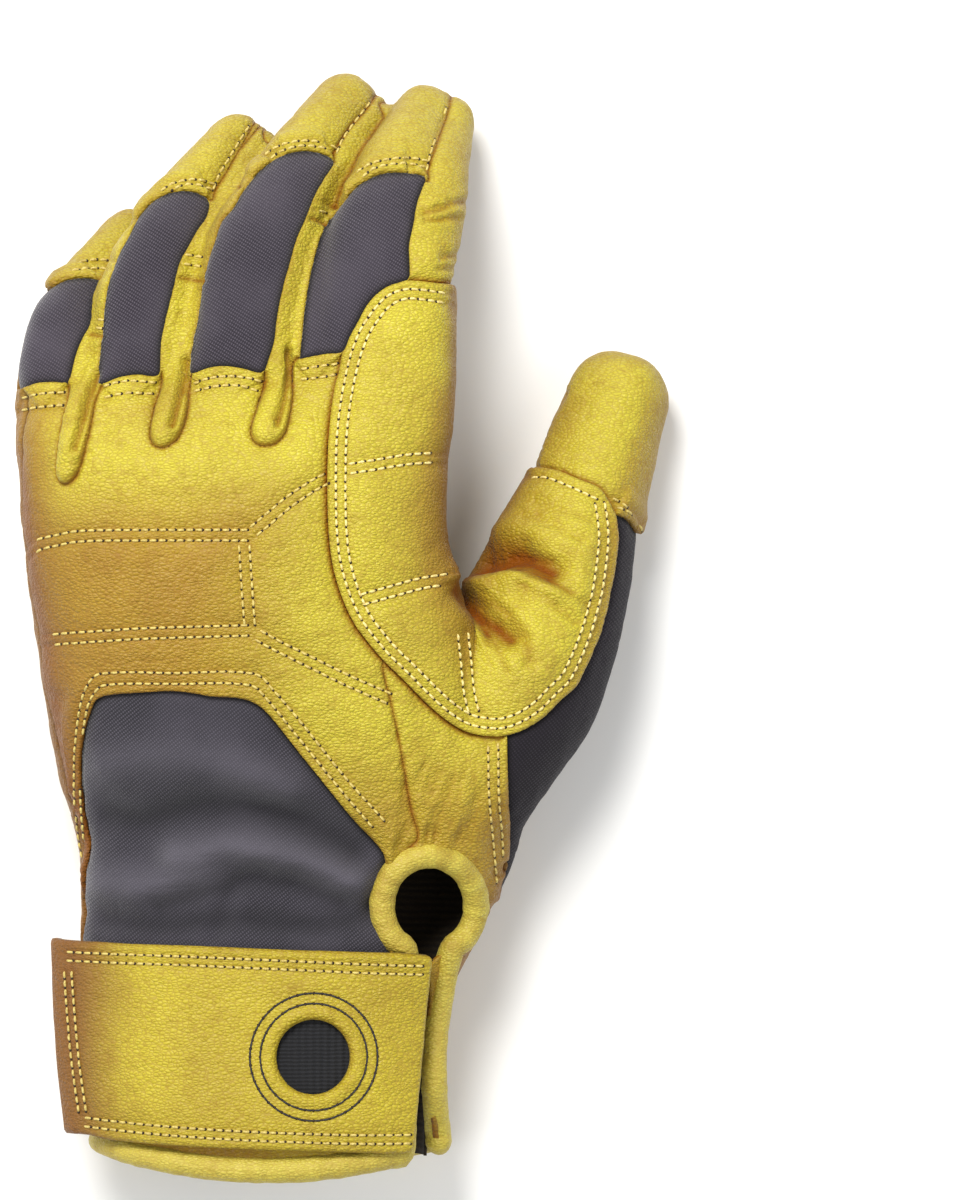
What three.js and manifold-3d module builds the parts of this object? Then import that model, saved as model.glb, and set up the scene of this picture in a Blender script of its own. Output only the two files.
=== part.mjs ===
// Left-hand climbing glove in goat leather and stretch cloth, lying on its palm: +Z is up, the
// fingers point along +Y and the thumb lies on the +X side. Sizes are in millimetres. The hand
// form is a set of lofts; every panel is a wall cut out of that hollow form.
import * as THREE from "three";
import { mergeVertices } from "three/addons/utils/BufferGeometryUtils.js";
import Module from "manifold-3d";

const wasm = await Module();
wasm.setup();

// Driving sizes of the hand form
const handLength = 186; // cuff hem to the finger webs
const handWidth = 104; // across the knuckles
const handDepth = 42; // back to palm, filled

// Walls and clearances
const leatherWall = 1.8;
const patchWall = 1.5;
const liningWall = 0.9;
const seamGap = 0.3; // between pieces that are sewn edge to edge or lie on each other

// Cuff trim
const bindingRadius = 3;
const hemRise = 6; // the hem is cut in a curve: its sides lie further up the arm than its middle
const strapWall = 2.6; // two layers of leather
const strapWidth = 44; // along the wrist
const strapHemDistance = 8; // hem to the strap's lower edge
const strapSlope = 0.045; // the strap runs round the arm at a slight slant
const strapHoleRadius = 8.6;
const tapeWall = 1.5;
const liningReach = 78; // how far the lining reaches in from the hem
const slitWidth = 7; // between the middles of the two bound edges
const keyholeHalfWidth = 10.9;
const keyholeHalfHeight = 11.7;
const tongueHalfWidth = 3.8; // the folded fourchette end on the back of the hand

// Facets
const handFacets = 22;
const digitFacets = 12;
const innerHandFacets = 12;
const innerDigitFacets = 8;
const bindingFacets = 8;

// Sections of the hand from the cuff to the webs. along is a share of handLength, centre and
// width of handWidth, lift and depth of handDepth; square is the superellipse's exponent.
const handSections = [
  { along: 0.0, centre: 0.096, lift: 0.478, width: 0.765, depth: 0.98, square: 2.2 },
  { along: 0.225, centre: 0.087, lift: 0.452, width: 0.815, depth: 0.93, square: 2.3 },
  { along: 0.3, centre: 0.119, lift: 0.458, width: 0.89, depth: 0.95, square: 2.3 },
  { along: 0.338, centre: 0.136, lift: 0.442, width: 0.92, depth: 0.91, square: 2.3 },
  { along: 0.4125, centre: 0.159, lift: 0.472, width: 0.993, depth: 0.97, square: 2.4 },
  { along: 0.5, centre: 0.14, lift: 0.59, width: 1.035, depth: 1.0, square: 2.4 },
  { along: 0.6, centre: 0.1, lift: 0.7, width: 1.01, depth: 1.02, square: 2.5 },
  { along: 0.7, centre: 0.048, lift: 0.795, width: 0.957, depth: 1.02, square: 2.5 },
  { along: 0.8, centre: 0.009, lift: 0.86, width: 0.926, depth: 1.0, square: 2.6 },
  { along: 0.9, centre: 0.01, lift: 0.91, width: 0.942, depth: 0.92, square: 2.7 },
  { along: 0.96, centre: 0.01, lift: 0.92, width: 0.935, depth: 0.7, square: 2.8 },
  { along: 0.99, centre: 0.01, lift: 0.92, width: 0.9, depth: 0.34, square: 2.8 },
];

// Digits. across, along and lift place the knuckle as shares of handWidth, handLength and
// handDepth. bones are the three segment lengths; yaw turns each segment towards the thumb side
// and pitch tips it down, in degrees; roll turns the whole digit about its own line. The panels
// of a digit start and end at panelStart, capStart, frontStart and frontEnd, as shares of its
// line, and left and right give the back panels' edges as shares of its half width.
const digits = [
  {
    name: "little", across: -0.385, along: 0.9, lift: 0.84, bones: [27.2, 18.4, 16],
    yaw: [5.4, 22.6, 36.5], pitch: [-8, -36, -40], roll: 0, width: 18, depth: 21.5, square: 2.8,
    panelStart: 0.275, capStart: 0.635, frontStart: 0.5, frontEnd: 0.93, left: -1.02, right: 0.66,
  },
  {
    name: "ring", across: -0.2105, along: 0.925, lift: 0.905, bones: [36.6, 22.2, 21.2],
    yaw: [6.3, 28, 35.6], pitch: [-7, -27, -37], roll: 0, width: 21.5, depth: 23.5, square: 2.8,
    panelStart: 0.175, capStart: 0.67, frontStart: 0.44, frontEnd: 0.93, left: -0.9, right: 0.72,
  },
  {
    name: "middle", across: 0.0165, along: 0.925, lift: 0.955, bones: [40, 24.4, 24.8],
    yaw: [7.3, 24.6, 33.5], pitch: [-5, -24, -40], roll: 0, width: 24, depth: 25, square: 2.8,
    panelStart: 0.175, capStart: 0.725, frontStart: 0.4, frontEnd: 0.93, left: -0.9, right: 0.75,
  },
  {
    name: "index", across: 0.33, along: 0.925, lift: 0.955, bones: [39.8, 21.2, 22],
    yaw: [4.3, 14.2, 19.2], pitch: [-4, -25, -46], roll: 0, width: 31, depth: 27, square: 2.8,
    panelStart: 0.22, capStart: 0.665, frontStart: 0.42, frontEnd: 0.93, left: -0.92, right: 0.32,
  },
  {
    name: "thumb", across: 0.4875, along: 0.469, lift: 0.56, bones: [43.8, 29.8, 29.3],
    yaw: [28.6, 19.3, 19.1], pitch: [-2, -8, -12], roll: 62, width: 27, depth: 27, square: 2.4,
    panelStart: 0, capStart: 0.745, frontStart: 0, frontEnd: 0, left: 0, right: 0,
  },
];

// How a digit's width and depth change along its line, as shares of its own sizes.
const fingerProfile = [
  { along: 0.0, width: 1.08, depth: 1.0 },
  { along: 0.25, width: 1.07, depth: 0.96 },
  { along: 0.46, width: 1.02, depth: 1.0 },
  { along: 0.75, width: 0.86, depth: 0.9 },
  { along: 1.0, width: 0.72, depth: 0.76 },
];
const indexProfile = [
  { along: 0.0, width: 1.08, depth: 1.0 },
  { along: 0.25, width: 1.07, depth: 0.96 },
  { along: 0.46, width: 1.0, depth: 1.0 },
  { along: 0.75, width: 0.86, depth: 0.9 },
  { along: 1.0, width: 0.64, depth: 0.72 },
];
const thumbProfile = [
  { along: 0.0, width: 1.15, depth: 1.25 },
  { along: 0.3, width: 1.44, depth: 1.5 },
  { along: 0.45, width: 1.28, depth: 1.38 },
  { along: 0.72, width: 1.02, depth: 1.06 },
  { along: 1.0, width: 0.84, depth: 0.84 },
];

// The folded fourchette ends on the back of the hand, as shares of handWidth and handLength.
const tongueEnds = {
  little_ring: { across: -0.351, along: 0.873 },
  ring_middle: { across: -0.132, along: 0.916 },
  middle_index: { across: 0.089, along: 0.922 },
};

// Outlines seen from above, as shares of handWidth (across) and handLength (along).
const wristPanelOutline = [
  { across: -0.31, along: -0.06 },
  { across: -0.324, along: 0.53 },
  { across: -0.302, along: 0.59 },
  { across: -0.262, along: 0.61 },
  { across: -0.06, along: 0.612 },
  { across: 0.08, along: 0.592 },
  { across: 0.163, along: 0.5375 },
  { across: 0.338, along: 0.4225 },
  { across: 0.37, along: 0.39 },
  { across: 0.37, along: -0.06 },
];
const backOutline = [
  { across: -0.8, along: -0.06 },
  { across: 0.387, along: -0.06 },
  { across: 0.387, along: 0.38 },
  { across: 0.427, along: 0.4275 },
  { across: 0.387, along: 0.55 },
  { across: 0.353, along: 0.65 },
  { across: 0.42, along: 0.75 },
  { across: 0.42, along: 1.2 },
  { across: -0.8, along: 1.2 },
];
const webPatchOutline = [
  { across: 0.338, along: 1.102 },
  { across: 0.286, along: 1.0625 },
  { across: 0.255, along: 1.012 },
  { across: 0.235, along: 0.925 },
  { across: 0.232, along: 0.82 },
  { across: 0.253, along: 0.74 },
  { across: 0.291, along: 0.694 },
  { across: 0.353, along: 0.65 },
  { across: 0.443, along: 0.594 },
  { across: 0.532, along: 0.5625 },
  { across: 0.622, along: 0.556 },
  { across: 0.711, along: 0.581 },
  { across: 0.778, along: 0.619 },
  { across: 0.845, along: 0.7125 },
  { across: 0.87, along: 0.8 },
  { across: 0.85, along: 0.857 },
  { across: 0.745, along: 0.888 },
  { across: 0.645, along: 0.915 },
  { across: 0.58, along: 1.112 },
];
const palmPatchOutline = [
  { across: -0.49, along: 0.79 },
  { across: -0.25, along: 0.74 },
  { across: -0.1, along: 0.62 },
  { across: 0.1, along: 0.63 },
  { across: 0.24, along: 0.69 },
  { across: 0.28, along: 0.76 },
  { across: 0.5, along: 0.8 },
  { across: 0.5, along: 0.945 },
  { across: -0.49, along: 0.945 },
];
const thumbStretchOutline = [
  { across: 0.87, along: 0.84 },
  { across: 0.86, along: 0.775 },
  { across: 0.84, along: 0.7125 },
  { across: 0.8, along: 0.64 },
  { across: 0.74, along: 0.59 },
  { across: 0.68, along: 0.555 },
  { across: 0.622, along: 0.55 },
  { across: 0.622, along: 0.38 },
  { across: 0.6, along: 0.34 },
  { across: 0.9, along: 0.34 },
  { across: 1.2, along: 0.84 },
];
const thenarOutline = [
  { across: -0.13, along: 0.58 },
  { across: -0.14, along: 0.5 },
  { across: -0.1, along: 0.42 },
  { across: 0, along: 0.36 },
  { across: 0.14, along: 0.31 },
  { across: 0.28, along: 0.32 },
  { across: 0.42, along: 0.35 },
  { across: 0.58, along: 0.34 },
  { across: 1.4, along: 0.34 },
  { across: 1.4, along: 1.1 },
  { across: 0.62, along: 1.0 },
  { across: 0.53, along: 0.74 },
  { across: 0.3, along: 0.68 },
  { across: 0.1, along: 0.63 },
];
const thumbBackOutline = [
  { across: 0.427, along: 0.4275 },
  { across: 0.47, along: 0.415 },
  { across: 0.58, along: 0.34 },
  { across: 1.4, along: 0.34 },
  { across: 1.4, along: 1.1 },
  { across: 0.62, along: 1.0 },
  { across: 0.53, along: 0.74 },
  { across: 0.42, along: 0.75 },
  { across: 0.353, along: 0.65 },
  { across: 0.387, along: 0.55 },
];

// Materials
const goldLeather = new THREE.MeshStandardMaterial({ color: 0xd2ac2f, roughness: 0.55, metalness: 0 });
const ochreLeather = new THREE.MeshStandardMaterial({ color: 0xb98a2c, roughness: 0.6, metalness: 0 });
const stretchCloth = new THREE.MeshStandardMaterial({ color: 0x3b383d, roughness: 0.85, metalness: 0 });
const blackKnit = new THREE.MeshStandardMaterial({ color: 0x17171a, roughness: 0.95, metalness: 0 });

// Helpers
const radians = THREE.MathUtils.degToRad;

/** Linear interpolation of one column of a table whose rows have a rising `along`. */
function columnAt(table, column, along) {
  const last = table[table.length - 1];
  if (along <= table[0].along) return table[0][column];
  if (along >= last.along) return last[column];
  const next = table.findIndex((row) => row.along >= along);
  const [low, high] = [table[next - 1], table[next]];
  const share = (along - low.along) / (high.along - low.along);
  return THREE.MathUtils.lerp(low[column], high[column], share);
}

/** A closed geometry turned into a solid, facing outwards. */
function solidOf(geometry) {
  const bare = geometry.index ? geometry.toNonIndexed() : geometry.clone();
  for (const name of Object.keys(bare.attributes)) {
    if (name !== "position") bare.deleteAttribute(name);
  }
  const merged = mergeVertices(bare, 1e-4);
  const make = (triangles) =>
    new wasm.Manifold(
      new wasm.Mesh({
        numProp: 3,
        vertProperties: merged.attributes.position.array,
        triVerts: new Uint32Array(triangles),
      }),
    );
  const triangles = Array.from(merged.index.array);
  const solid = make(triangles);
  return solid.volume() > 0 ? solid : make(triangles.reverse());
}

/** A skin through rings of points, closed by a fan at both ends or joined end to end. */
function loft(rings, joined = false) {
  const count = rings[0].length;
  const positions = rings.flat().flatMap((p) => [p.x, p.y, p.z]);
  const index = [];
  const steps = joined ? rings.length : rings.length - 1;
  for (let r = 0; r < steps; r++) {
    const [here, there] = [r * count, ((r + 1) % rings.length) * count];
    for (let i = 0; i < count; i++) {
      const j = (i + 1) % count;
      index.push(here + i, here + j, there + j, here + i, there + j, there + i);
    }
  }
  if (!joined) {
    for (const end of [0, rings.length - 1]) {
      const middle = positions.length / 3;
      const centre = rings[end].reduce((sum, p) => sum.add(p), new THREE.Vector3());
      positions.push(...centre.multiplyScalar(1 / count).toArray());
      for (let i = 0; i < count; i++) {
        const [a, b] = [end * count + i, end * count + ((i + 1) % count)];
        index.push(...(end === 0 ? [middle, b, a] : [middle, a, b]));
      }
    }
  }
  const geometry = new THREE.BufferGeometry();
  geometry.setAttribute("position", new THREE.Float32BufferAttribute(positions, 3));
  geometry.setIndex(index);
  return solidOf(geometry);
}

/** A point of a superellipse about a frame's origin. */
function ovalPoint(frame, halfWidth, halfDepth, square, turn) {
  const [c, s] = [Math.cos(turn), Math.sin(turn)];
  const x = halfWidth * Math.sign(c) * Math.abs(c) ** (2 / square);
  const z = halfDepth * Math.sign(s) * Math.abs(s) ** (2 / square);
  return frame.origin.clone().addScaledVector(frame.across, x).addScaledVector(frame.up, z);
}

/** Evenly turned points of a superellipse. */
function ovalRing(frame, halfWidth, halfDepth, square, facets) {
  const turns = Array.from({ length: facets }, (_, i) => (2 * Math.PI * i) / facets);
  return turns.map((turn) => ovalPoint(frame, halfWidth, halfDepth, square, turn));
}

/** Keeps points at or above the height where the leather is pressed flat. */
function pressed(ring, offset) {
  return ring.map((p) => new THREE.Vector3(p.x, p.y, Math.max(p.z, -Math.min(offset, 0))));
}

/** A solid between two heights over an outline seen from above. */
function prism(points, low, high) {
  const shape = new THREE.Shape(points.map(([x, y]) => new THREE.Vector2(x, y)));
  const geometry = new THREE.ExtrudeGeometry(shape, { depth: high - low, bevelEnabled: false });
  return solidOf(geometry.translate(0, 0, low));
}

/** The points of an outline table, in millimetres. */
function outlinePoints(outline) {
  return outline.map(({ across, along }) => [across * handWidth, along * handLength]);
}

/** An outline moved outwards, each point along the mean of its two edges' normals. */
function grown(points, amount) {
  const area = THREE.ShapeUtils.area(points.map(([x, y]) => new THREE.Vector2(x, y)));
  const side = Math.sign(area);
  return points.map(([x, y], i) => {
    const before = points[(i + points.length - 1) % points.length];
    const after = points[(i + 1) % points.length];
    const normals = [[before, [x, y]], [[x, y], after]].map(([a, b]) =>
      new THREE.Vector2(b[1] - a[1], a[0] - b[0]).normalize(),
    );
    const mean = normals[0].clone().add(normals[1]).normalize();
    const reach = (side * amount) / Math.max(0.5, mean.dot(normals[0]));
    return [x + mean.x * reach, y + mean.y * reach];
  });
}

// The hand form
/** The hand's section at a share of its length. */
function handSection(along) {
  const read = (column) => columnAt(handSections, column, along);
  return {
    centre: read("centre") * handWidth,
    lift: read("lift") * handDepth,
    halfWidth: (read("width") * handWidth) / 2,
    halfDepth: (read("depth") * handDepth) / 2,
    square: read("square"),
  };
}

/** A level frame across the hand at a distance from the hem. */
function handFrame(y) {
  const s = handSection(y / handLength);
  return {
    origin: new THREE.Vector3(s.centre, y, s.lift),
    across: new THREE.Vector3(1, 0, 0),
    up: new THREE.Vector3(0, 0, 1),
  };
}

/** The palm part of the form, grown by offset; an inner one runs out through the cuff. */
function handLoft(offset, facets, reachOut) {
  const rings = handSections.map(({ along }, row) => {
    const s = handSection(along);
    const frame = handFrame(along * handLength);
    if (row === 0) frame.origin.y -= reachOut;
    if (row === handSections.length - 1) frame.origin.y += offset;
    const [w, d] = [s.halfWidth + offset, s.halfDepth + offset];
    return pressed(ovalRing(frame, w, d, s.square, facets), offset);
  });
  return loft(rings);
}

/** The line through a digit's joints. */
function digitCurve(digit) {
  const { across, along, lift } = digit;
  const joints = [
    new THREE.Vector3(across * handWidth, along * handLength, lift * handDepth),
  ];
  digit.bones.forEach((length, i) => {
    const [yaw, pitch] = [radians(digit.yaw[i]), radians(digit.pitch[i])];
    const step = new THREE.Vector3(
      Math.sin(yaw) * Math.cos(pitch),
      Math.cos(yaw) * Math.cos(pitch),
      Math.sin(pitch),
    );
    joints.push(joints[i].clone().addScaledVector(step, length));
  });
  return new THREE.CatmullRomCurve3(joints, false, "centripetal");
}
const profiles = { index: indexProfile, thumb: thumbProfile };
for (const digit of digits) {
  digit.curve = digitCurve(digit);
  digit.profile = profiles[digit.name] ?? fingerProfile;
}
const fingers = digits.filter((digit) => digit.name !== "thumb");
const thumb = digits.find((digit) => digit.name === "thumb");

/** The frame of a digit at a share of its line; past either end it goes straight on. */
function digitFrame(digit, share) {
  const inside = THREE.MathUtils.clamp(share, 0, 1);
  const forward = digit.curve.getTangentAt(inside);
  const past = (share - inside) * digit.curve.getLength();
  const origin = digit.curve.getPointAt(inside).addScaledVector(forward, past);
  const level = new THREE.Vector3(forward.y, -forward.x, 0).normalize();
  const rise = level.clone().cross(forward);
  const [c, s] = [Math.cos(radians(digit.roll)), Math.sin(radians(digit.roll))];
  return {
    origin,
    forward,
    across: level.clone().multiplyScalar(c).addScaledVector(rise, -s),
    up: rise.clone().multiplyScalar(c).addScaledVector(level, s),
  };
}

/** Half width and half depth of a digit at a share of its line. */
function digitSize(digit, share) {
  return {
    halfWidth: (columnAt(digit.profile, "width", share) * digit.width) / 2,
    halfDepth: (columnAt(digit.profile, "depth", share) * digit.depth) / 2,
  };
}

/** A digit with its round tip, grown by offset. */
function digitLoft(digit, offset, facets, shares, turns) {
  const rings = [];
  const add = (share, forward, scale) => {
    const size = digitSize(digit, share);
    const frame = digitFrame(digit, share);
    frame.origin.addScaledVector(frame.forward, forward);
    const [w, d] = [size.halfWidth + offset, size.halfDepth + offset];
    rings.push(pressed(ovalRing(frame, w * scale, d * scale, digit.square, facets), offset));
  };
  for (const share of shares) add(share, share === 0 ? -offset : 0, 1);
  const tipReach = digitSize(digit, 1).halfDepth + offset;
  for (const turn of turns) {
    add(1, tipReach * Math.sin(radians(turn)), Math.cos(radians(turn)) ** 0.8);
  }
  return loft(rings);
}

/** The outside of one digit, grown by offset. */
function outerDigit(digit, offset) {
  return digitLoft(digit, offset, digitFacets, [0, 0.25, 0.46, 0.75, 1], [38, 70]);
}

/** The outside of the hand form, grown by offset. */
function outerForm(offset) {
  return digits.reduce(
    (form, digit) => form.add(outerDigit(digit, offset)),
    handLoft(offset, handFacets, 0),
  );
}

/** The inside of the hand form, which runs out through the cuff. */
function innerForm(wall) {
  const [shares, turns] = [[0, 0.46, 0.75, 1], [50]];
  return digits.reduce(
    (form, digit) => form.add(digitLoft(digit, -wall, innerDigitFacets, shares, turns)),
    handLoft(-wall, innerHandFacets, 2 * bindingRadius),
  );
}

/** A block that follows a digit's line. Sides and heights are shares of its half sizes. */
function digitBlock(digit, from, to, left, right, low, high, grow) {
  const extra = grow / digit.curve.getLength();
  const bends = [0.25, 0.46, 0.75, 1].filter((b) => b > from + 0.05 && b < to - 0.05);
  const shares = [from, ...bends, to];
  if (grow > 0) {
    shares.unshift(from - extra);
    shares.push(to + extra);
  }
  const rings = shares.map((share) => {
    const size = digitSize(digit, share);
    const frame = digitFrame(digit, share);
    const [x0, x1] = [left * size.halfWidth - grow, right * size.halfWidth + grow];
    const [z0, z1] = [low * size.halfDepth - grow, high * size.halfDepth + grow];
    return [[x0, z0], [x1, z0], [x1, z1], [x0, z1]].map(([x, z]) =>
      frame.origin.clone().addScaledVector(frame.across, x).addScaledVector(frame.up, z),
    );
  });
  return loft(rings);
}

// Cutting the panels out of the shell
const group = new THREE.Group();
const topHeight = 3 * handDepth;
const farOut = 4 * handWidth;

/** The largest body of a solid: a cut can leave crumbs far below a wall's size. */
function mainBody(solid) {
  return solid.decompose().reduce((a, b) => (a.volume() > b.volume() ? a : b));
}

/** Adds a solid to the model as a named mesh. */
function addPiece(name, solid, material) {
  const { vertProperties, triVerts, numProp } = mainBody(solid).getMesh();
  const positions = new Float32Array((vertProperties.length / numProp) * 3);
  for (let v = 0; v * numProp < vertProperties.length; v++) {
    positions.set(vertProperties.subarray(v * numProp, v * numProp + 3), v * 3);
  }
  const geometry = new THREE.BufferGeometry();
  geometry.setAttribute("position", new THREE.BufferAttribute(positions, 3));
  geometry.setIndex(new THREE.BufferAttribute(new Uint32Array(triVerts), 1));
  geometry.computeVertexNormals();
  const mesh = new THREE.Mesh(geometry, material);
  mesh.name = name;
  group.add(mesh);
}

let shell = outerForm(0).subtract(innerForm(leatherWall));

/** Cuts a region out of the shell as a piece, and leaves the seam's gap round it. */
function takePiece(name, region, material) {
  const inside = region(0);
  addPiece(name, shell.intersect(inside), material);
  shell = shell.subtract(region(seamGap).add(inside));
}

// The slit in the cuff and its keyhole, on the back at the thumb side
const slitX = 0.425 * handWidth;
const keyholeX = 0.452 * handWidth;
const keyholeY = 0.344 * handLength;
const slitFloor = 0.5 * handDepth; // the cut-out is only in the back

/** The cut-out's edge seen from above: up one side of the slit, round the keyhole and down. */
function keyholeEdge(low) {
  const points = [[slitX - slitWidth / 2, low]];
  for (let turn = -150; turn <= 150; turn += 30) {
    points.push([
      keyholeX + keyholeHalfWidth * Math.sin(radians(turn)),
      keyholeY + keyholeHalfHeight * Math.cos(radians(turn)),
    ]);
  }
  points.push([slitX + slitWidth / 2, low]);
  return points;
}
const keyholeCut = prism(keyholeEdge(-4 * bindingRadius), slitFloor, topHeight);

/** How far up the arm the hem's line lies at a sideways distance from the cuff's middle. */
function hemLine(x) {
  const s = handSection(0);
  return bindingRadius + hemRise * Math.min(1, ((x - s.centre) / s.halfWidth) ** 2);
}

/** The binding's line: up one edge of the slit, round the keyhole, down and round the hem. */
function bindingPath() {
  const middle = -leatherWall / 2;
  const turnAt = (x, y) => {
    const s = handSection(y / handLength);
    const reach = (x - s.centre) / (s.halfWidth + middle);
    return Math.acos(Math.min(1, reach) ** (s.square / 2));
  };
  const onSkin = (y, turn) => {
    const s = handSection(y / handLength);
    const [w, d] = [s.halfWidth + middle, s.halfDepth + middle];
    const point = ovalPoint(handFrame(y), w, d, s.square, turn);
    point.z = Math.max(point.z, -middle);
    return point;
  };
  const edge = keyholeEdge(0);
  const [left, right] = [edge[0][0], edge[edge.length - 1][0]];
  const loop = edge.slice(1, -1);
  const rise = (x, toX, toY) =>
    [0, 0.3, 0.6, 0.85].map((t) => [
      THREE.MathUtils.lerp(x, toX, t ** 3),
      THREE.MathUtils.lerp(hemLine(x), toY, t),
    ]);
  const up = rise(left, ...loop[0]);
  const down = rise(right, ...loop[loop.length - 1]).reverse();
  const seenFromAbove = [...up, ...loop, ...down];
  const slit = seenFromAbove.map(([x, y]) => onSkin(y, turnAt(x, y)));
  const [from, to] = [turnAt(right, 0), turnAt(left, 0) - 2 * Math.PI];
  const hem = [];
  for (let i = 1; i < 24; i++) {
    const turn = THREE.MathUtils.lerp(from, to, i / 24);
    hem.push(onSkin(hemLine(onSkin(0, turn).x), turn));
  }
  return [...slit, ...hem];
}

/** A round roll along a closed path, pressed flat where it rests. */
function roll(path, radius) {
  const curve = new THREE.CatmullRomCurve3(path, true, "centripetal");
  const steps = Math.round(curve.getLength() / (3.1 * bindingRadius));
  const rings = [];
  for (let i = 0; i < steps; i++) {
    const origin = curve.getPointAt(i / steps);
    const forward = curve.getTangentAt(i / steps);
    const outward = origin.clone().sub(handFrame(origin.y).origin).setY(0);
    const across = forward.clone().cross(outward).normalize();
    const up = across.clone().cross(forward);
    rings.push(pressed(ovalRing({ origin, across, up }, radius, radius, 2, bindingFacets), 0));
  }
  return loft(rings, true);
}
addPiece("cuff_binding", roll(bindingPath(), bindingRadius), goldLeather);
const hemCut = [[-farOut, hemLine(farOut)]];
for (const share of [-1, -0.66, -0.33, 0, 0.33, 0.66, 1]) {
  const x = handSection(0).centre + share * handSection(0).halfWidth;
  hemCut.push([x, hemLine(x)]);
}
hemCut.push([farOut, hemLine(farOut)], [farOut, -farOut], [-farOut, -farOut]);
const bindingRoom = roll(bindingPath(), bindingRadius + seamGap).add(
  prism(hemCut, -handDepth, topHeight),
);
shell = shell.subtract(keyholeCut).subtract(bindingRoom);

// Finger panels: a stretch back, a leather cap that wraps the tip and a leather front
/** A block along a finger that leaves the finger beside it alone. */
function ownBlock(finger, from, to, left, right, low, high, grow) {
  const block = digitBlock(finger, from, to, left, right, low, high, grow);
  return block.intersect(outerDigit(finger, seamGap + grow));
}
const flank = 0.35; // where the side walls start, as a share of a finger's half depth
for (const finger of fingers) {
  const { name, left, right, panelStart, capStart, frontStart, frontEnd } = finger;
  const back = (grow) => ownBlock(finger, panelStart, capStart, left, right, flank, 2, grow);
  const cap = (grow) =>
    ownBlock(finger, capStart, 1.5, left, right, flank, 2, grow).add(
      ownBlock(finger, frontEnd, 1.5, -1.6, 1.6, -1.6, 2, grow),
    );
  const front = (grow) =>
    ownBlock(finger, frontStart, frontEnd, -0.8, 0.8, -1.6, -flank, grow);
  takePiece(`${name}_stretch_back`, back, stretchCloth);
  takePiece(`${name}_tip_cap`, cap, goldLeather);
  takePiece(`${name}_front`, front, ochreLeather);
}

// Thumb: a leather tip and a stretch panel on its outer side
takePiece(
  "thumb_tip_cap",
  (grow) => digitBlock(thumb, thumb.capStart, 1.6, -1.6, 1.6, -1.6, 1.6, grow),
  goldLeather,
);
takePiece(
  "thumb_stretch_side",
  (grow) => prism(grown(outlinePoints(thumbStretchOutline), grow), 0.24 * handDepth - grow, topHeight),
  stretchCloth,
);

// Fourchettes: the facing side walls of two fingers, ending in a folded tongue on the back
/** The walls of a finger to one side of its line. */
function sideWall(finger, side, grow) {
  const [from, to] = side > 0 ? [0.3, 1.6] : [-1.6, -0.3];
  return ownBlock(finger, finger.panelStart, 1.5, from, to, -1.6, 1.6, grow);
}
/** A point seen from above, beside a finger's line at a share of its half width. */
function beside(finger, share, side) {
  const { origin, across } = digitFrame(finger, share);
  origin.addScaledVector(across, side * digitSize(finger, share).halfWidth);
  return origin;
}
for (let i = 0; i + 1 < fingers.length; i++) {
  const [one, other] = [fingers[i], fingers[i + 1]];
  const end = tongueEnds[`${one.name}_${other.name}`];
  const [endX, endY] = [end.across * handWidth, end.along * handLength];
  const webY = 0.965 * handLength;
  const lean = (webY - endY) * Math.tan(radians(one.yaw[0] + other.yaw[0]) / 2 + 0.12);
  const tongue = [180, 225, 270, 315, 360].map((turn) => [
    endX + tongueHalfWidth * Math.cos(radians(turn)),
    endY + tongueHalfWidth * (1 + Math.sin(radians(turn))),
  ]);
  const [left, right] = [beside(one, one.panelStart, 0.5), beside(other, other.panelStart, -0.5)];
  const outline = [
    ...tongue,
    [endX + lean + tongueHalfWidth, webY],
    [right.x, webY + 1],
    [right.x, right.y + 2],
    [left.x, left.y + 2],
    [left.x, webY + 1],
    [endX + lean - tongueHalfWidth, webY],
  ];
  takePiece(
    `fourchette_${one.name}_${other.name}`,
    (grow) =>
      prism(grown(outline, grow), -handDepth, topHeight)
        .add(sideWall(one, 1, grow))
        .add(sideWall(other, -1, grow)),
    goldLeather,
  );
}

// Outer sides of the little finger and the index finger
for (const [finger, side] of [[fingers[0], -1], [fingers[3], 1]]) {
  takePiece(`${finger.name}_outer_side`, (grow) => sideWall(finger, side, grow), goldLeather);
}

// Stretch panel on the wrist's back, then the leather back, the thumb's leather and the palm
/** A solid over the seam between back and palm, which rises with the hand. */
function aboveSeam(share, grow) {
  const low = [0, 0.4125, 0.6, 0.8, 0.99].map((along) => {
    const s = handSection(along);
    return [along * handLength, s.lift + share * s.halfDepth - grow];
  });
  const profile = [
    [-farOut, low[0][1]],
    ...low,
    [farOut, low[low.length - 1][1]],
    [farOut, topHeight],
    [-farOut, topHeight],
  ];
  const shape = new THREE.Shape(profile.map(([y, z]) => new THREE.Vector2(y, z)));
  const geometry = new THREE.ExtrudeGeometry(shape, { depth: 2 * farOut, bevelEnabled: false });
  const [x, y, z] = [0, 1, 2].map((axis) => new THREE.Vector3().setComponent(axis, 1));
  geometry.applyMatrix4(new THREE.Matrix4().makeBasis(y, z, x));
  return solidOf(geometry.translate(-farOut, 0, 0));
}
takePiece(
  "wrist_stretch_back",
  (grow) => prism(grown(outlinePoints(wristPanelOutline), grow), slitFloor, topHeight),
  stretchCloth,
);
takePiece(
  "hand_back",
  (grow) =>
    prism(grown(outlinePoints(backOutline), grow), -handDepth, topHeight).intersect(
      aboveSeam(0.4, grow),
    ),
  goldLeather,
);
takePiece(
  "thumb_shell",
  (grow) => {
    const front = prism(grown(outlinePoints(thenarOutline), grow), -handDepth, slitFloor + grow);
    const back = prism(grown(outlinePoints(thumbBackOutline), grow), slitFloor - 1, topHeight);
    return front.add(back);
  },
  goldLeather,
);
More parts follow.
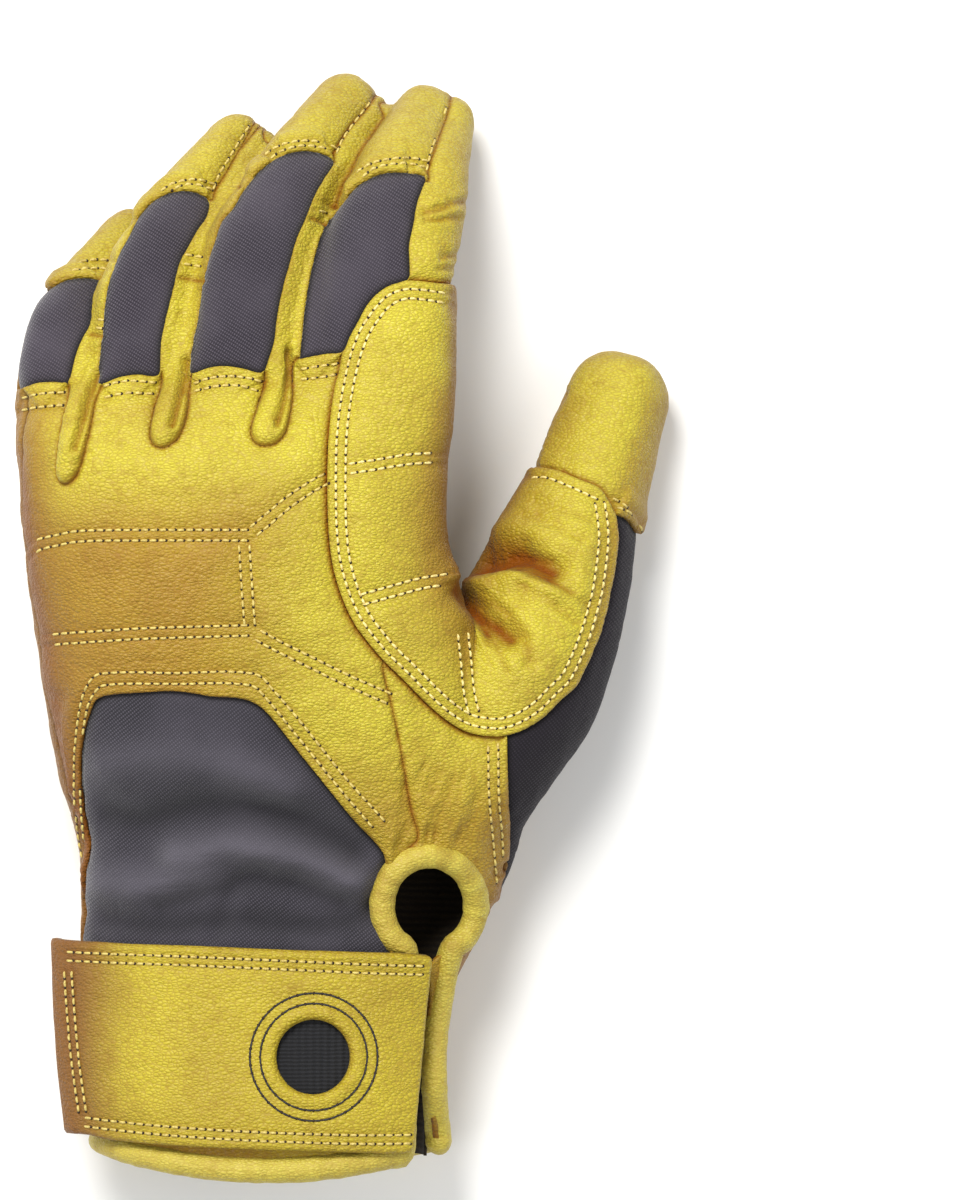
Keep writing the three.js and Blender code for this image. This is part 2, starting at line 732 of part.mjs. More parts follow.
addPiece("palm", shell, ochreLeather);

// Patches that lie on the leather
const patchLayer = outerForm(patchWall + seamGap).subtract(outerForm(seamGap));
const underPalm = (grow) =>
  prism(grown(outlinePoints(palmPatchOutline), grow), -handDepth, topHeight).subtract(
    aboveSeam(-0.6, -grow),
  );
addPiece(
  "thumb_web_patch",
  patchLayer
    .intersect(prism(outlinePoints(webPatchOutline), 0.42 * handDepth, topHeight))
    .subtract(underPalm(seamGap)),
  goldLeather,
);
addPiece("palm_patch", patchLayer.intersect(underPalm(0)), ochreLeather);

// The wrist strap, the hook tape under it and the lining inside the cuff
/** A layer over the hand's skin between two offsets. */
function handLayer(low, high) {
  return handLoft(high, handFacets, 0).subtract(handLoft(low, handFacets, bindingRadius));
}
const strapLow = strapHemDistance;
const strapHigh = strapLow + strapWidth;
const [strapLeft, strapRight] = [-0.39 * handWidth, 0.425 * handWidth];
const strapLift = tapeWall + 2 * seamGap;
const strapSide = 0.3 * handDepth;
/** A rounded block from above with its floor at a height. */
function strapBlock(left, right, low, high, corner, floor) {
  const points = [];
  for (const [x, y, start] of [
    [right - corner, high - corner, 0],
    [left + corner, high - corner, 90],
    [left + corner, low + corner, 180],
    [right - corner, low + corner, 270],
  ]) {
    for (const turn of [0, 45, 90]) {
      const angle = radians(start + turn);
      const [px, py] = [x + corner * Math.cos(angle), y + corner * Math.sin(angle)];
      points.push([px, py + strapSlope * (strapRight - px)]);
    }
  }
  return prism(points, floor, topHeight);
}
const hole = { across: 0.1966, along: 0.158 };
const holePoints = Array.from({ length: 16 }, (_, i) => [
  hole.across * handWidth + strapHoleRadius * Math.cos((Math.PI * i) / 8),
  hole.along * handLength + strapHoleRadius * Math.sin((Math.PI * i) / 8),
]);
const bindingClear = roll(bindingPath(), bindingRadius + seamGap);
addPiece(
  "wrist_strap",
  handLayer(strapLift, strapLift + strapWall)
    .intersect(strapBlock(strapLeft, strapRight, strapLow, strapHigh, 3, strapSide))
    .subtract(prism(holePoints, slitFloor, topHeight))
    .subtract(bindingClear),
  goldLeather,
);
addPiece(
  "strap_tape",
  handLayer(seamGap, seamGap + tapeWall)
    .intersect(
      strapBlock(strapLeft + 2, 0.37 * handWidth, strapLow + 5, strapHigh - 4, 2, strapSide + 1),
    )
    .subtract(bindingClear),
  blackKnit,
);
const liningOut = leatherWall + seamGap;
addPiece(
  "cuff_lining",
  handLoft(-liningOut, innerHandFacets, 0)
    .subtract(handLoft(-liningOut - liningWall, innerHandFacets, bindingRadius))
    .intersect(
      prism(
        [
          [-farOut, 3 * bindingRadius + hemRise],
          [farOut, 3 * bindingRadius + hemRise],
          [farOut, liningReach],
          [-farOut, liningReach],
        ],
        -handDepth,
        topHeight,
      ),
    )
    .subtract(prism(grown(keyholeEdge(-4 * bindingRadius), bindingRadius), slitFloor, topHeight))
    .subtract(bindingClear),
  blackKnit,
);

// The origin is the middle of the bottom of the whole glove
const box = new THREE.Box3().setFromObject(group);
const middle = box.getCenter(new THREE.Vector3());
group.position.set(-middle.x, -middle.y, -box.min.z);

export default group;
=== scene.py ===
"""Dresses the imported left-hand climbing glove.

One smooth skin is drawn over the hand form and cut into the glove's goatskin and twill panels. Each
panel becomes a closed wall with turned, lapped or raised edges, sewn channels and creases. Binding,
strap, knit, lining and every stitch are pieces of their own. Tables give places in millimetres in the
part's frame; Blender gets metres.
"""

from __future__ import annotations

import logging
import math
from dataclasses import dataclass, field
from enum import Enum
from typing import Sequence

import bpy
import numpy as np
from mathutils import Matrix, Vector
from mathutils.bvhtree import BVHTree
from mathutils.kdtree import KDTree

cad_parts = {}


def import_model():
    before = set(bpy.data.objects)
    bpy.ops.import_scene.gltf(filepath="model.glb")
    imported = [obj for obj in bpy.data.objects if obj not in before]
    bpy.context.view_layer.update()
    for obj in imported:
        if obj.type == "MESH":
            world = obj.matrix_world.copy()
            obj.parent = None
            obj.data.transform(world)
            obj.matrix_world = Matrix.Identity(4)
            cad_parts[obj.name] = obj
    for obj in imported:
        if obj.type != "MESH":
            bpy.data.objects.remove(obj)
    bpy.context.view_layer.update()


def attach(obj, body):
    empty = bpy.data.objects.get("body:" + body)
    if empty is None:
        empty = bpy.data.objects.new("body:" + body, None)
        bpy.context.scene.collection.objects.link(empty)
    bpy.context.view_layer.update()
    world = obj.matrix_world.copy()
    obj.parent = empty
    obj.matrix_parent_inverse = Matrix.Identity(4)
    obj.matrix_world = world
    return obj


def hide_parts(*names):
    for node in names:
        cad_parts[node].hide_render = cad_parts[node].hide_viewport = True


log = logging.getLogger("glove")
Array = np.ndarray
Path = Sequence[tuple[float, float]]
MM = 0.001
FAR = 60.0
SHIFT = np.array([-25.742, -128.818, 0.0])


# Helpers
def smoothstep(low: float, high: float, value: Array) -> Array:
    """A soft step from 0 at low to 1 at high."""
    t = np.clip((value - low) / (high - low), 0.0, 1.0)
    return t * t * (3.0 - 2.0 * t)


def bump_at(distance: Array, width: float) -> Array:
    """A round bump of height 1 that fades over a width."""
    return np.exp(-((distance / width) ** 2))


def value_noise(points: Array, size: float, seed: int) -> Array:
    """Smooth seeded noise from -1 to 1.

    Args:
        points: Places, in millimetres.
        size: Spacing of the noise's lattice, in millimetres.
        seed: Seed of the lattice's values.

    Returns:
        One value per point.
    """
    lattice = np.random.default_rng(seed).uniform(-1.0, 1.0, (64, 64, 64))
    scaled = points / size + 1000.0
    base = np.floor(scaled).astype(int)
    t = scaled - base
    t = t * t * (3.0 - 2.0 * t)
    total = np.zeros(len(points))
    for corner in range(8):
        step = np.array([corner & 1, (corner >> 1) & 1, (corner >> 2) & 1])
        cell = (base + step) % 64
        weight = np.prod(np.where(step == 1, t, 1.0 - t), axis=1)
        total += weight * lattice[cell[:, 0], cell[:, 1], cell[:, 2]]
    return total


def smooth_path(points: Path, closed: bool = False, step: float = 1.0) -> Array:
    """An even line through a table's points, with its corners softly rounded.

    Args:
        points: Places in the plan, in millimetres.
        closed: Whether the last point joins the first.
        step: Spacing of the points that come back, in millimetres.

    Returns:
        Points along the line.
    """
    raw = np.asarray(points, float)
    if closed:
        raw = np.vstack([raw[-1], raw, raw[:2]])
    else:
        raw = np.vstack([2 * raw[0] - raw[1], raw, 2 * raw[-1] - raw[-2]])
    dense = []
    for p0, p1, p2, p3 in zip(raw[:-3], raw[1:-2], raw[2:-1], raw[3:]):
        reach = np.linalg.norm(p2 - p1)
        before = (p2 - p0) * reach / max(np.linalg.norm(p1 - p0) + reach, 1e-6)
        after = (p3 - p1) * reach / max(np.linalg.norm(p3 - p2) + reach, 1e-6)
        for t in np.arange(8) / 8.0:
            a, b = 2 * t**3 - 3 * t**2 + 1, t**3 - 2 * t**2 + t
            c, d = -2 * t**3 + 3 * t**2, t**3 - t**2
            dense.append(a * p1 + b * before + c * p2 + d * after)
    if not closed:
        dense.append(raw[-2])
    else:
        dense.append(dense[0])
    line = np.array(dense)
    lengths = np.concatenate([[0.0], np.cumsum(np.linalg.norm(np.diff(line, axis=0), axis=1))])
    count = max(2, int(round(lengths[-1] / step)) + 1)
    at = np.linspace(0.0, lengths[-1], count)
    even = np.column_stack([np.interp(at, lengths, line[:, k]) for k in range(line.shape[1])])
    return even[:-1] if closed else even


def path_distance(plan: Array, line: Array, reach: float, closed: bool = False) -> Array:
    """Distance from points to a line in the plan; beyond the reach it is FAR.

    Args:
        plan: Points seen from above.
        line: The line's points.
        reach: How far from the line distances are wanted.
        closed: Whether the line is closed.

    Returns:
        One distance per point.
    """
    out = np.full(len(plan), FAR)
    low, high = line.min(0) - reach, line.max(0) + reach
    near = np.where(((plan > low) & (plan < high)).all(1))[0]
    if len(near) == 0:
        return out
    ends = np.vstack([line, line[:1]]) if closed else line
    start, along = ends[:-1], np.diff(ends, axis=0)
    square = np.maximum((along**2).sum(1), 1e-9)
    for part in np.array_split(near, max(1, len(near) * len(start) // 2_000_000)):
        rel = plan[part, None, :] - start[None]
        t = np.clip((rel * along).sum(2) / square, 0.0, 1.0)
        gap = rel - t[..., None] * along
        out[part] = np.sqrt((gap**2).sum(2)).min(1)
    return out


def outline_field(plan: Array, outline: Array) -> Array:
    """Signed distance to a closed outline in the plan, below zero inside it."""
    reach = 12.0
    gap = np.minimum(path_distance(plan, outline, reach, closed=True), reach)
    inside = np.zeros(len(plan), bool)
    low, high = outline.min(0), outline.max(0)
    near = np.where(((plan > low) & (plan < high)).all(1))[0]
    x, y = plan[near, 0], plan[near, 1]
    odd = np.zeros(len(near), bool)
    for (ax, ay), (bx, by) in zip(outline, np.roll(outline, -1, axis=0)):
        if ay == by:
            continue
        spans = (ay > y) != (by > y)
        odd ^= spans & (x < (bx - ax) * (y - ay) / (by - ay) + ax)
    inside[near] = odd
    return np.where(inside, -gap, gap)


def mesh_piece(name: str, points: Array, faces: Sequence, finish: "Finish", nodes: Sequence[str],
               values: dict[str, Array] | None = None) -> bpy.types.Object:
    """Makes a shown piece that rides on the part.

    Args:
        name: The piece's name.
        points: Its points, in millimetres in the part's frame.
        faces: Its faces, as point numbers.
        finish: The finish that dresses it.
        nodes: The nodes of the part that it stands for.
        values: Named values per point for the finish to read.

    Returns:
        The object.
    """
    mesh = bpy.data.meshes.new(name)
    lists = faces.tolist() if isinstance(faces, np.ndarray) else faces
    mesh.from_pydata((points * MM).tolist(), [], lists)
    mesh.polygons.foreach_set("use_smooth", [True] * len(mesh.polygons))
    for key, value in (values or {}).items():
        layer = mesh.attributes.new(key, "FLOAT", "POINT")
        layer.data.foreach_set("value", np.ascontiguousarray(value, np.float32))
    mesh.materials.append(finish.material())
    mesh.update()
    piece = bpy.data.objects.new(name, mesh)
    bpy.context.scene.collection.objects.link(piece)
    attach(piece, "root")
    if nodes:
        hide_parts(*nodes)
    log.info("%s: %d points, %d faces", name, len(points), len(lists))
    return piece


# Finishes
def linear(colour: int) -> tuple[float, float, float, float]:
    """The linear colour of an sRGB hex value."""
    out = []
    for bits in (16, 8, 0):
        c = ((colour >> bits) & 255) / 255.0
        out.append(c / 12.92 if c <= 0.04045 else ((c + 0.055) / 1.055) ** 2.4)
    return (*out, 1.0)


def add_node(tree: bpy.types.NodeTree, kind: str, inputs: dict | None = None, **settings) -> bpy.types.Node:
    """Adds a node with its settings and links.

    Args:
        tree: The material's node tree.
        kind: The node's type name, without the ShaderNode part.
        inputs: Input name or number to a value, or to the socket that feeds it.
        **settings: The node's own properties.

    Returns:
        The node.
    """
    node = tree.nodes.new("ShaderNode" + kind)
    for key, value in settings.items():
        setattr(node, key, value)
    for key, value in (inputs or {}).items():
        if isinstance(value, bpy.types.NodeSocket):
            tree.links.new(value, node.inputs[key])
        else:
            node.inputs[key].default_value = value
    return node


class Finish:
    """A finish of the glove; each builds its own material once."""

    name: str
    slot: str

    def material(self) -> bpy.types.Material:
        """The finish's material, made when it is first needed."""
        made = bpy.data.materials.get(self.name)
        if made is None:
            made = bpy.data.materials.new(self.name)
            made.use_nodes = True
            tree = made.node_tree
            tree.nodes.clear()
            shader = add_node(tree, "BsdfPrincipled")
            add_node(tree, "OutputMaterial", {"Surface": shader.outputs[0]})
            self.dress(tree, shader)
        return made

    def dress(self, tree: bpy.types.NodeTree, shader: bpy.types.Node) -> None:
        """Builds the finish's nodes."""
        raise NotImplementedError


@dataclass(frozen=True)
class Goatskin(Finish):
    """Full-grain goatskin, drum-dyed through: pebbled grain and dull sheen, with painted shade in creases, seams,
    grain furrows and on side-facing faces, and a painted top light on up-facing faces.
    """

    name: str
    slot: str
    face: int
    bright: int
    flank: int
    crease: int
    grain_mm: float = 0.75
    roughness: float = 0.53
    relief: float = 1.0

    def dress(self, tree: bpy.types.NodeTree, shader: bpy.types.Node) -> None:
        """Dye clouds, painted shade on side-facing faces, in creases and in grain furrows, a painted top light, and
        a relief of pebbles, pores and fine lines.
        """
        place = add_node(tree, "TexCoord").outputs["Object"]
        drift = add_node(tree, "TexNoise", {"Vector": place, "Scale": 1 / 0.004, "Detail": 2.0})
        bent = add_node(tree, "VectorMath", {0: drift.outputs["Color"], 1: (0.0009,) * 3},
                        operation="MULTIPLY")
        bent = add_node(tree, "VectorMath", {0: place, 1: bent.outputs[0]}, operation="ADD")
        stretched = add_node(tree, "Mapping", {"Vector": bent.outputs[0], "Scale": (0.62, 1.1, 0.9)})
        pebbles = add_node(tree, "TexVoronoi", {"Vector": stretched.outputs[0],
                                                "Scale": 1 / (self.grain_mm * MM)},
                           feature="SMOOTH_F1")
        pebbles.inputs["Smoothness"].default_value = 0.6
        cells = add_node(tree, "TexVoronoi", {"Vector": stretched.outputs[0],
                                              "Scale": 1 / (self.grain_mm * MM)},
                         feature="DISTANCE_TO_EDGE")
        pores = add_node(tree, "TexNoise", {"Vector": place, "Scale": 1 / 0.0006, "Detail": 3.0,
                                            "Roughness": 0.7})
        lines = add_node(tree, "TexNoise", {"Vector": place, "Scale": 1 / 0.003, "Detail": 4.0,
                                            "Roughness": 0.58, "Distortion": 0.8})
        clouds = add_node(tree, "TexNoise", {"Vector": place, "Scale": 1 / 0.026, "Detail": 3.0})
        # Point values of painted light: painted shade in creases, seams and under laps; painted shade on side-facing
        # faces; the lemon tone mixed with a painted top light.
        crease = add_node(tree, "Attribute", attribute_name="crease").outputs["Fac"]
        flank = add_node(tree, "Attribute", attribute_name="flank").outputs["Fac"]
        bright = add_node(tree, "Attribute", attribute_name="bright").outputs["Fac"]
        colour = self.blend(tree, bright, linear(self.face), linear(self.bright))
        cloud = add_node(tree, "MapRange", {"Value": clouds.outputs[0], "From Min": 0.35,
                                            "From Max": 0.7, "To Min": 0.0, "To Max": 0.3})
        colour = self.blend(tree, cloud.outputs[0], colour, linear(self.flank))
        # Painted shade on side-facing faces, in the darker colour that the mottle uses.
        colour = self.blend(tree, flank, colour, linear(self.flank))
        # Painted shade in the grain's furrows.
        furrow_shade = add_node(tree, "MapRange", {"Value": cells.outputs["Distance"], "From Min": 0.0,
                                              "From Max": 0.16, "To Min": 0.42, "To Max": 0.0})
        colour = self.blend(tree, furrow_shade.outputs[0], colour, linear(self.flank))
        fine = add_node(tree, "MapRange", {"Value": lines.outputs[0], "From Min": 0.5,
                                           "From Max": 0.75, "To Min": 0.0, "To Max": 0.3})
        colour = self.blend(tree, fine.outputs[0], colour, linear(self.flank))
        # Painted shade in creases, seams, stitch channels and beside lapping edges.
        colour = self.blend(tree, crease, colour, linear(self.crease))
        tree.links.new(colour, shader.inputs["Base Color"])
        gloss = add_node(tree, "MapRange", {"Value": lines.outputs[0], "From Min": 0.3,
                                            "From Max": 0.7, "To Min": self.roughness - 0.07,
                                            "To Max": self.roughness + 0.1})
        tree.links.new(gloss.outputs[0], shader.inputs["Roughness"])
        relief = add_node(tree, "Bump", {"Height": pores.outputs[0], "Strength": 0.25 * self.relief,
                                         "Distance": 0.00025})
        relief = add_node(tree, "Bump", {"Height": pebbles.outputs["Distance"],
                                         "Strength": 0.8 * self.relief, "Distance": 0.00034,
                                         "Normal": relief.outputs[0]}, invert=True)
        furrows = add_node(tree, "MapRange", {"Value": cells.outputs["Distance"], "From Min": 0.0,
                                              "From Max": 0.25})
        relief = add_node(tree, "Bump", {"Height": furrows.outputs[0], "Strength": 0.5 * self.relief,
                                         "Distance": 0.00016, "Normal": relief.outputs[0]})
        relief = add_node(tree, "Bump", {"Height": lines.outputs[0], "Strength": 0.24 * self.relief,
                                         "Distance": 0.0011, "Normal": relief.outputs[0]})
        tree.links.new(relief.outputs[0], shader.inputs["Normal"])
        # Creases also reflect less, along with their painted shade.
        shine = add_node(tree, "MapRange", {"Value": crease, "From Min": 0.0, "From Max": 1.0,
                                            "To Min": 0.5, "To Max": 0.1})
        tree.links.new(shine.outputs[0], shader.inputs["Specular IOR Level"])
        shader.inputs["Sheen Weight"].default_value = 0.04

    @staticmethod
    def blend(tree: bpy.types.NodeTree, share, one, other) -> bpy.types.NodeSocket:
        """Mixes two colours by a share and returns the mixed socket."""
        node = add_node(tree, "Mix", {0: share, 6: one, 7: other}, data_type="RGBA")
        return node.outputs[2]


@dataclass(frozen=True)
class StretchTwill(Finish):
    """Woven nylon stretch twill: matt, with fine raised diagonals and a faint grey sheen."""

    name: str
    face: int
    rib: int
    # Colour of the painted highlight along fold ridges.
    wear_and_ridge_highlight: int = 0x77727C
    slot: str = "stretch_cloth"
    rib_mm: float = 0.75
    turn_deg: float = 32.0
    sheen: float = 0.25

    def dress(self, tree: bpy.types.NodeTree, shader: bpy.types.Node) -> None:
        """Diagonal ribs drawn at 0.75 mm, coarser than the real 0.4 mm so that they show."""
        place = add_node(tree, "TexCoord").outputs["Object"]
        turned = add_node(tree, "Mapping", {"Vector": place,
                                            "Rotation": (0.0, 0.0, math.radians(self.turn_deg))})
        ribs = add_node(tree, "TexWave", {"Vector": turned.outputs[0], "Distortion": 0.6,
                                          "Detail": 2.0, "Detail Scale": 2.0,
                                          "Scale": 2 * math.pi / (20 * self.rib_mm * MM)},
                        wave_type="BANDS", bands_direction="Y")
        across = add_node(tree, "TexWave", {"Vector": turned.outputs[0], "Distortion": 1.0,
                                            "Detail": 2.0, "Detail Scale": 2.0,
                                            "Scale": 2 * math.pi / (20 * 0.55 * MM)},
                          wave_type="BANDS", bands_direction="X")
        fuzz = add_node(tree, "TexNoise", {"Vector": place, "Scale": 1 / 0.0005, "Detail": 4.0,
                                           "Roughness": 0.75})
        wear_and_ridge_highlight = add_node(tree, "TexNoise", {"Vector": place, "Scale": 1 / 0.018, "Detail": 3.0})
        weave = add_node(tree, "Math", {0: ribs.outputs["Fac"], 1: across.outputs["Fac"], 2: 0.0},
                         operation="MULTIPLY_ADD")
        speck = add_node(tree, "Math", {0: weave.outputs[0], 1: fuzz.outputs[0]}, operation="MULTIPLY")
        share = add_node(tree, "MapRange", {"Value": speck.outputs[0], "From Min": 0.0,
                                            "From Max": 0.45, "To Min": 0.0, "To Max": 1.0})
        colour = Goatskin.blend(tree, share.outputs[0], linear(self.face), linear(self.rib))
        wear = add_node(tree, "MapRange", {"Value": wear_and_ridge_highlight.outputs[0], "From Min": 0.4,
                                           "From Max": 0.75, "To Min": 0.0, "To Max": 0.35})
        colour = Goatskin.blend(tree, wear.outputs[0], colour, linear(self.rib))
        crease = add_node(tree, "Attribute", attribute_name="crease").outputs["Fac"]
        ridge = add_node(tree, "Attribute", attribute_name="ridge").outputs["Fac"]
        # Painted highlight along fold ridges.
        colour = Goatskin.blend(tree, ridge, colour, linear(self.wear_and_ridge_highlight))
        # Painted shade in creases and seams.
        colour = Goatskin.blend(tree, crease, colour, linear(0x0E0D10))
        tree.links.new(colour, shader.inputs["Base Color"])
        relief = add_node(tree, "Bump", {"Height": fuzz.outputs[0], "Strength": 0.35,
                                         "Distance": 0.0002})
        relief = add_node(tree, "Bump", {"Height": weave.outputs[0], "Strength": 0.6,
                                         "Distance": 0.00022, "Normal": relief.outputs[0]})
        tree.links.new(relief.outputs[0], shader.inputs["Normal"])
        shader.inputs["Roughness"].default_value = 0.82
        shader.inputs["Sheen Weight"].default_value = self.sheen
        shader.inputs["Sheen Roughness"].default_value = 0.5
        shader.inputs["Specular IOR Level"].default_value = 0.25


@dataclass(frozen=True)
class RibKnit(Finish):
    """Knitted polyester, ribbed: soft matt columns of loops that swallow the light."""

    name: str
    face: int
    loop: int
    slot: str = "black_knit"
    loop_mm: float = 0.9

    def dress(self, tree: bpy.types.NodeTree, shader: bpy.types.Node) -> None:
        """Rows of loops across the ribs, at 0.9 mm."""
        place = add_node(tree, "TexCoord").outputs["Object"]
        rows = add_node(tree, "TexWave", {"Vector": place, "Distortion": 1.2, "Detail": 1.0,
                                          "Scale": 2 * math.pi / (20 * self.loop_mm * MM)},
                        wave_type="BANDS", bands_direction="Y")
        fuzz = add_node(tree, "TexNoise", {"Vector": place, "Scale": 1 / 0.0004, "Detail": 4.0})
        share = add_node(tree, "Math", {0: rows.outputs["Fac"], 1: fuzz.outputs[0]},
                         operation="MULTIPLY")
        colour = Goatskin.blend(tree, share.outputs[0], linear(self.face), linear(self.loop))
        tree.links.new(colour, shader.inputs["Base Color"])
        relief = add_node(tree, "Bump", {"Height": share.outputs[0], "Strength": 0.7,
                                         "Distance": 0.0004})
        tree.links.new(relief.outputs[0], shader.inputs["Normal"])
        shader.inputs["Roughness"].default_value = 0.95
        shader.inputs["Sheen Weight"].default_value = 0.06


@dataclass(frozen=True)
class SpunThread(Finish):
    """Twisted polyester thread: two plies that catch a soft light, darker between the plies."""

    name: str
    slot: str
    face: int
    shade: int

    def dress(self, tree: bpy.types.NodeTree, shader: bpy.types.Node) -> None:
        """A fine mottle stands for the twist, which is a tenth of a millimetre."""
        place = add_node(tree, "TexCoord").outputs["Object"]
        twist = add_node(tree, "TexNoise", {"Vector": place, "Scale": 1 / 0.0005, "Detail": 2.0})
        share = add_node(tree, "MapRange", {"Value": twist.outputs[0], "From Min": 0.4,
                                            "From Max": 0.7})
        colour = Goatskin.blend(tree, share.outputs[0], linear(self.face), linear(self.shade))
        tree.links.new(colour, shader.inputs["Base Color"])
        relief = add_node(tree, "Bump", {"Height": twist.outputs[0], "Strength": 0.4,
                                         "Distance": 0.0001})
        tree.links.new(relief.outputs[0], shader.inputs["Normal"])
        shader.inputs["Roughness"].default_value = 0.6


@dataclass(frozen=True)
class PaleFloor(Finish):
    """Matt white laminate of a photo table."""

    name: str = "pale_laminate"
    slot: str = ""

    def dress(self, tree: bpy.types.NodeTree, shader: bpy.types.Node) -> None:
        """Even and matt, with a hardly visible mottle."""
        place = add_node(tree, "TexCoord").outputs["Object"]
        mottle = add_node(tree, "TexNoise", {"Vector": place, "Scale": 3.0, "Detail": 2.0})
        colour = Goatskin.blend(tree, mottle.outputs[0], linear(0xFBFBFA), linear(0xF6F6F5))
        tree.links.new(colour, shader.inputs["Base Color"])
        shader.inputs["Roughness"].default_value = 0.9


class Dress(Enum):
    """The finishes that the glove's pieces are given."""

    # Each goatskin lists its face colour, its lemon colour for tone and painted top light, its darker colour for
    # mottle and painted side shade, and its colour of painted crease shade.
    GOLD = Goatskin("goatskin_gold", "gold_leather", 0xA07E0C, 0xC4B82A, 0x7A4A04, 0x7C4204)
    CUFF = Goatskin("goatskin_cuff", "gold_leather", 0xA88612, 0xC0B220, 0x764604, 0x6A3A06)
    ROLLED = Goatskin("goatskin_rolled_edge", "gold_leather", 0xBFA838, 0xCAC24A, 0x966E20, 0x70400E,
                      grain_mm=0.7, roughness=0.52, relief=0.8)
    PALM = Goatskin("goatskin_palm", "ochre_leather", 0xAC8A24, 0xBAA22E, 0x805614, 0x4E2808)
    FRONT = Goatskin("goatskin_finger_front", "ochre_leather", 0xA0761F, 0xAC8628, 0x805614, 0x4E280A)
    TWILL = StretchTwill("twill_finger", 0x231E27, 0x56505A)
    TWILL_DARK = StretchTwill("twill_wrist", 0x1F1D23, 0x504C56, wear_and_ridge_highlight=0x6C6872, turn_deg=-38.0)
    # A darker, less sheeny copy of the twill: painted shade on the thumb's side.
    TWILL_SIDE = StretchTwill("twill_thumb_side", 0x131015, 0x2B252E, turn_deg=52.0, sheen=0.06)
    KNIT = RibKnit("rib_knit", 0x09090B, 0x2A2B30)
    # The lining's very dark colour is painted shade for the inside of the cuff.
    LINING = RibKnit("fleece_lining", 0x1E160C, 0x3A2E18, loop_mm=1.6)
    THREAD_GOLD = SpunThread("thread_tan", "gold_leather", 0xD6C26E, 0xA68E46)
    THREAD_CREAM = SpunThread("thread_cream", "gold_leather", 0xEBDC94, 0xC8AA56)
    THREAD_BLACK = SpunThread("thread_black", "black_knit", 0x19171A, 0x2A272B)
    # Needle holes coloured dark: painted shade in the holes.
    HOLE = SpunThread("needle_hole", "gold_leather", 0x231204, 0x341C06)
    FLOOR = PaleFloor()


# The hand form
SECTION_COLUMNS = ("along", "centre", "lift", "width", "depth", "square")
HAND_SECTIONS = (
    (0.0, 0.096, 0.478, 0.765, 0.98, 2.2), (0.225, 0.087, 0.452, 0.815, 0.93, 2.3),
    (0.3, 0.119, 0.458, 0.89, 0.95, 2.3), (0.338, 0.136, 0.442, 0.92, 0.91, 2.3),
    (0.4125, 0.159, 0.472, 0.993, 0.97, 2.4), (0.5, 0.14, 0.59, 1.035, 1.0, 2.4),
    (0.6, 0.1, 0.7, 1.01, 1.02, 2.5), (0.7, 0.048, 0.795, 0.957, 1.02, 2.5),
    (0.8, 0.009, 0.86, 0.926, 1.0, 2.6), (0.9, 0.01, 0.91, 0.942, 0.92, 2.7),
    (0.96, 0.01, 0.92, 0.935, 0.7, 2.8), (0.99, 0.01, 0.92, 0.9, 0.34, 2.8),
)
FINGER_PROFILE = ((0.0, 1.08, 1.0), (0.25, 1.07, 0.96), (0.46, 1.02, 1.0), (0.75, 0.89, 0.9),
                  (1.0, 0.81, 0.78))
INDEX_PROFILE = ((0.0, 1.08, 1.0), (0.25, 1.07, 0.96), (0.46, 1.0, 1.0), (0.75, 0.86, 0.9),
                 (1.0, 0.64, 0.72))
THUMB_PROFILE = ((0.0, 1.15, 1.25), (0.3, 1.44, 1.5), (0.45, 1.28, 1.38), (0.72, 1.02, 1.06),
                 (1.0, 0.84, 0.84))


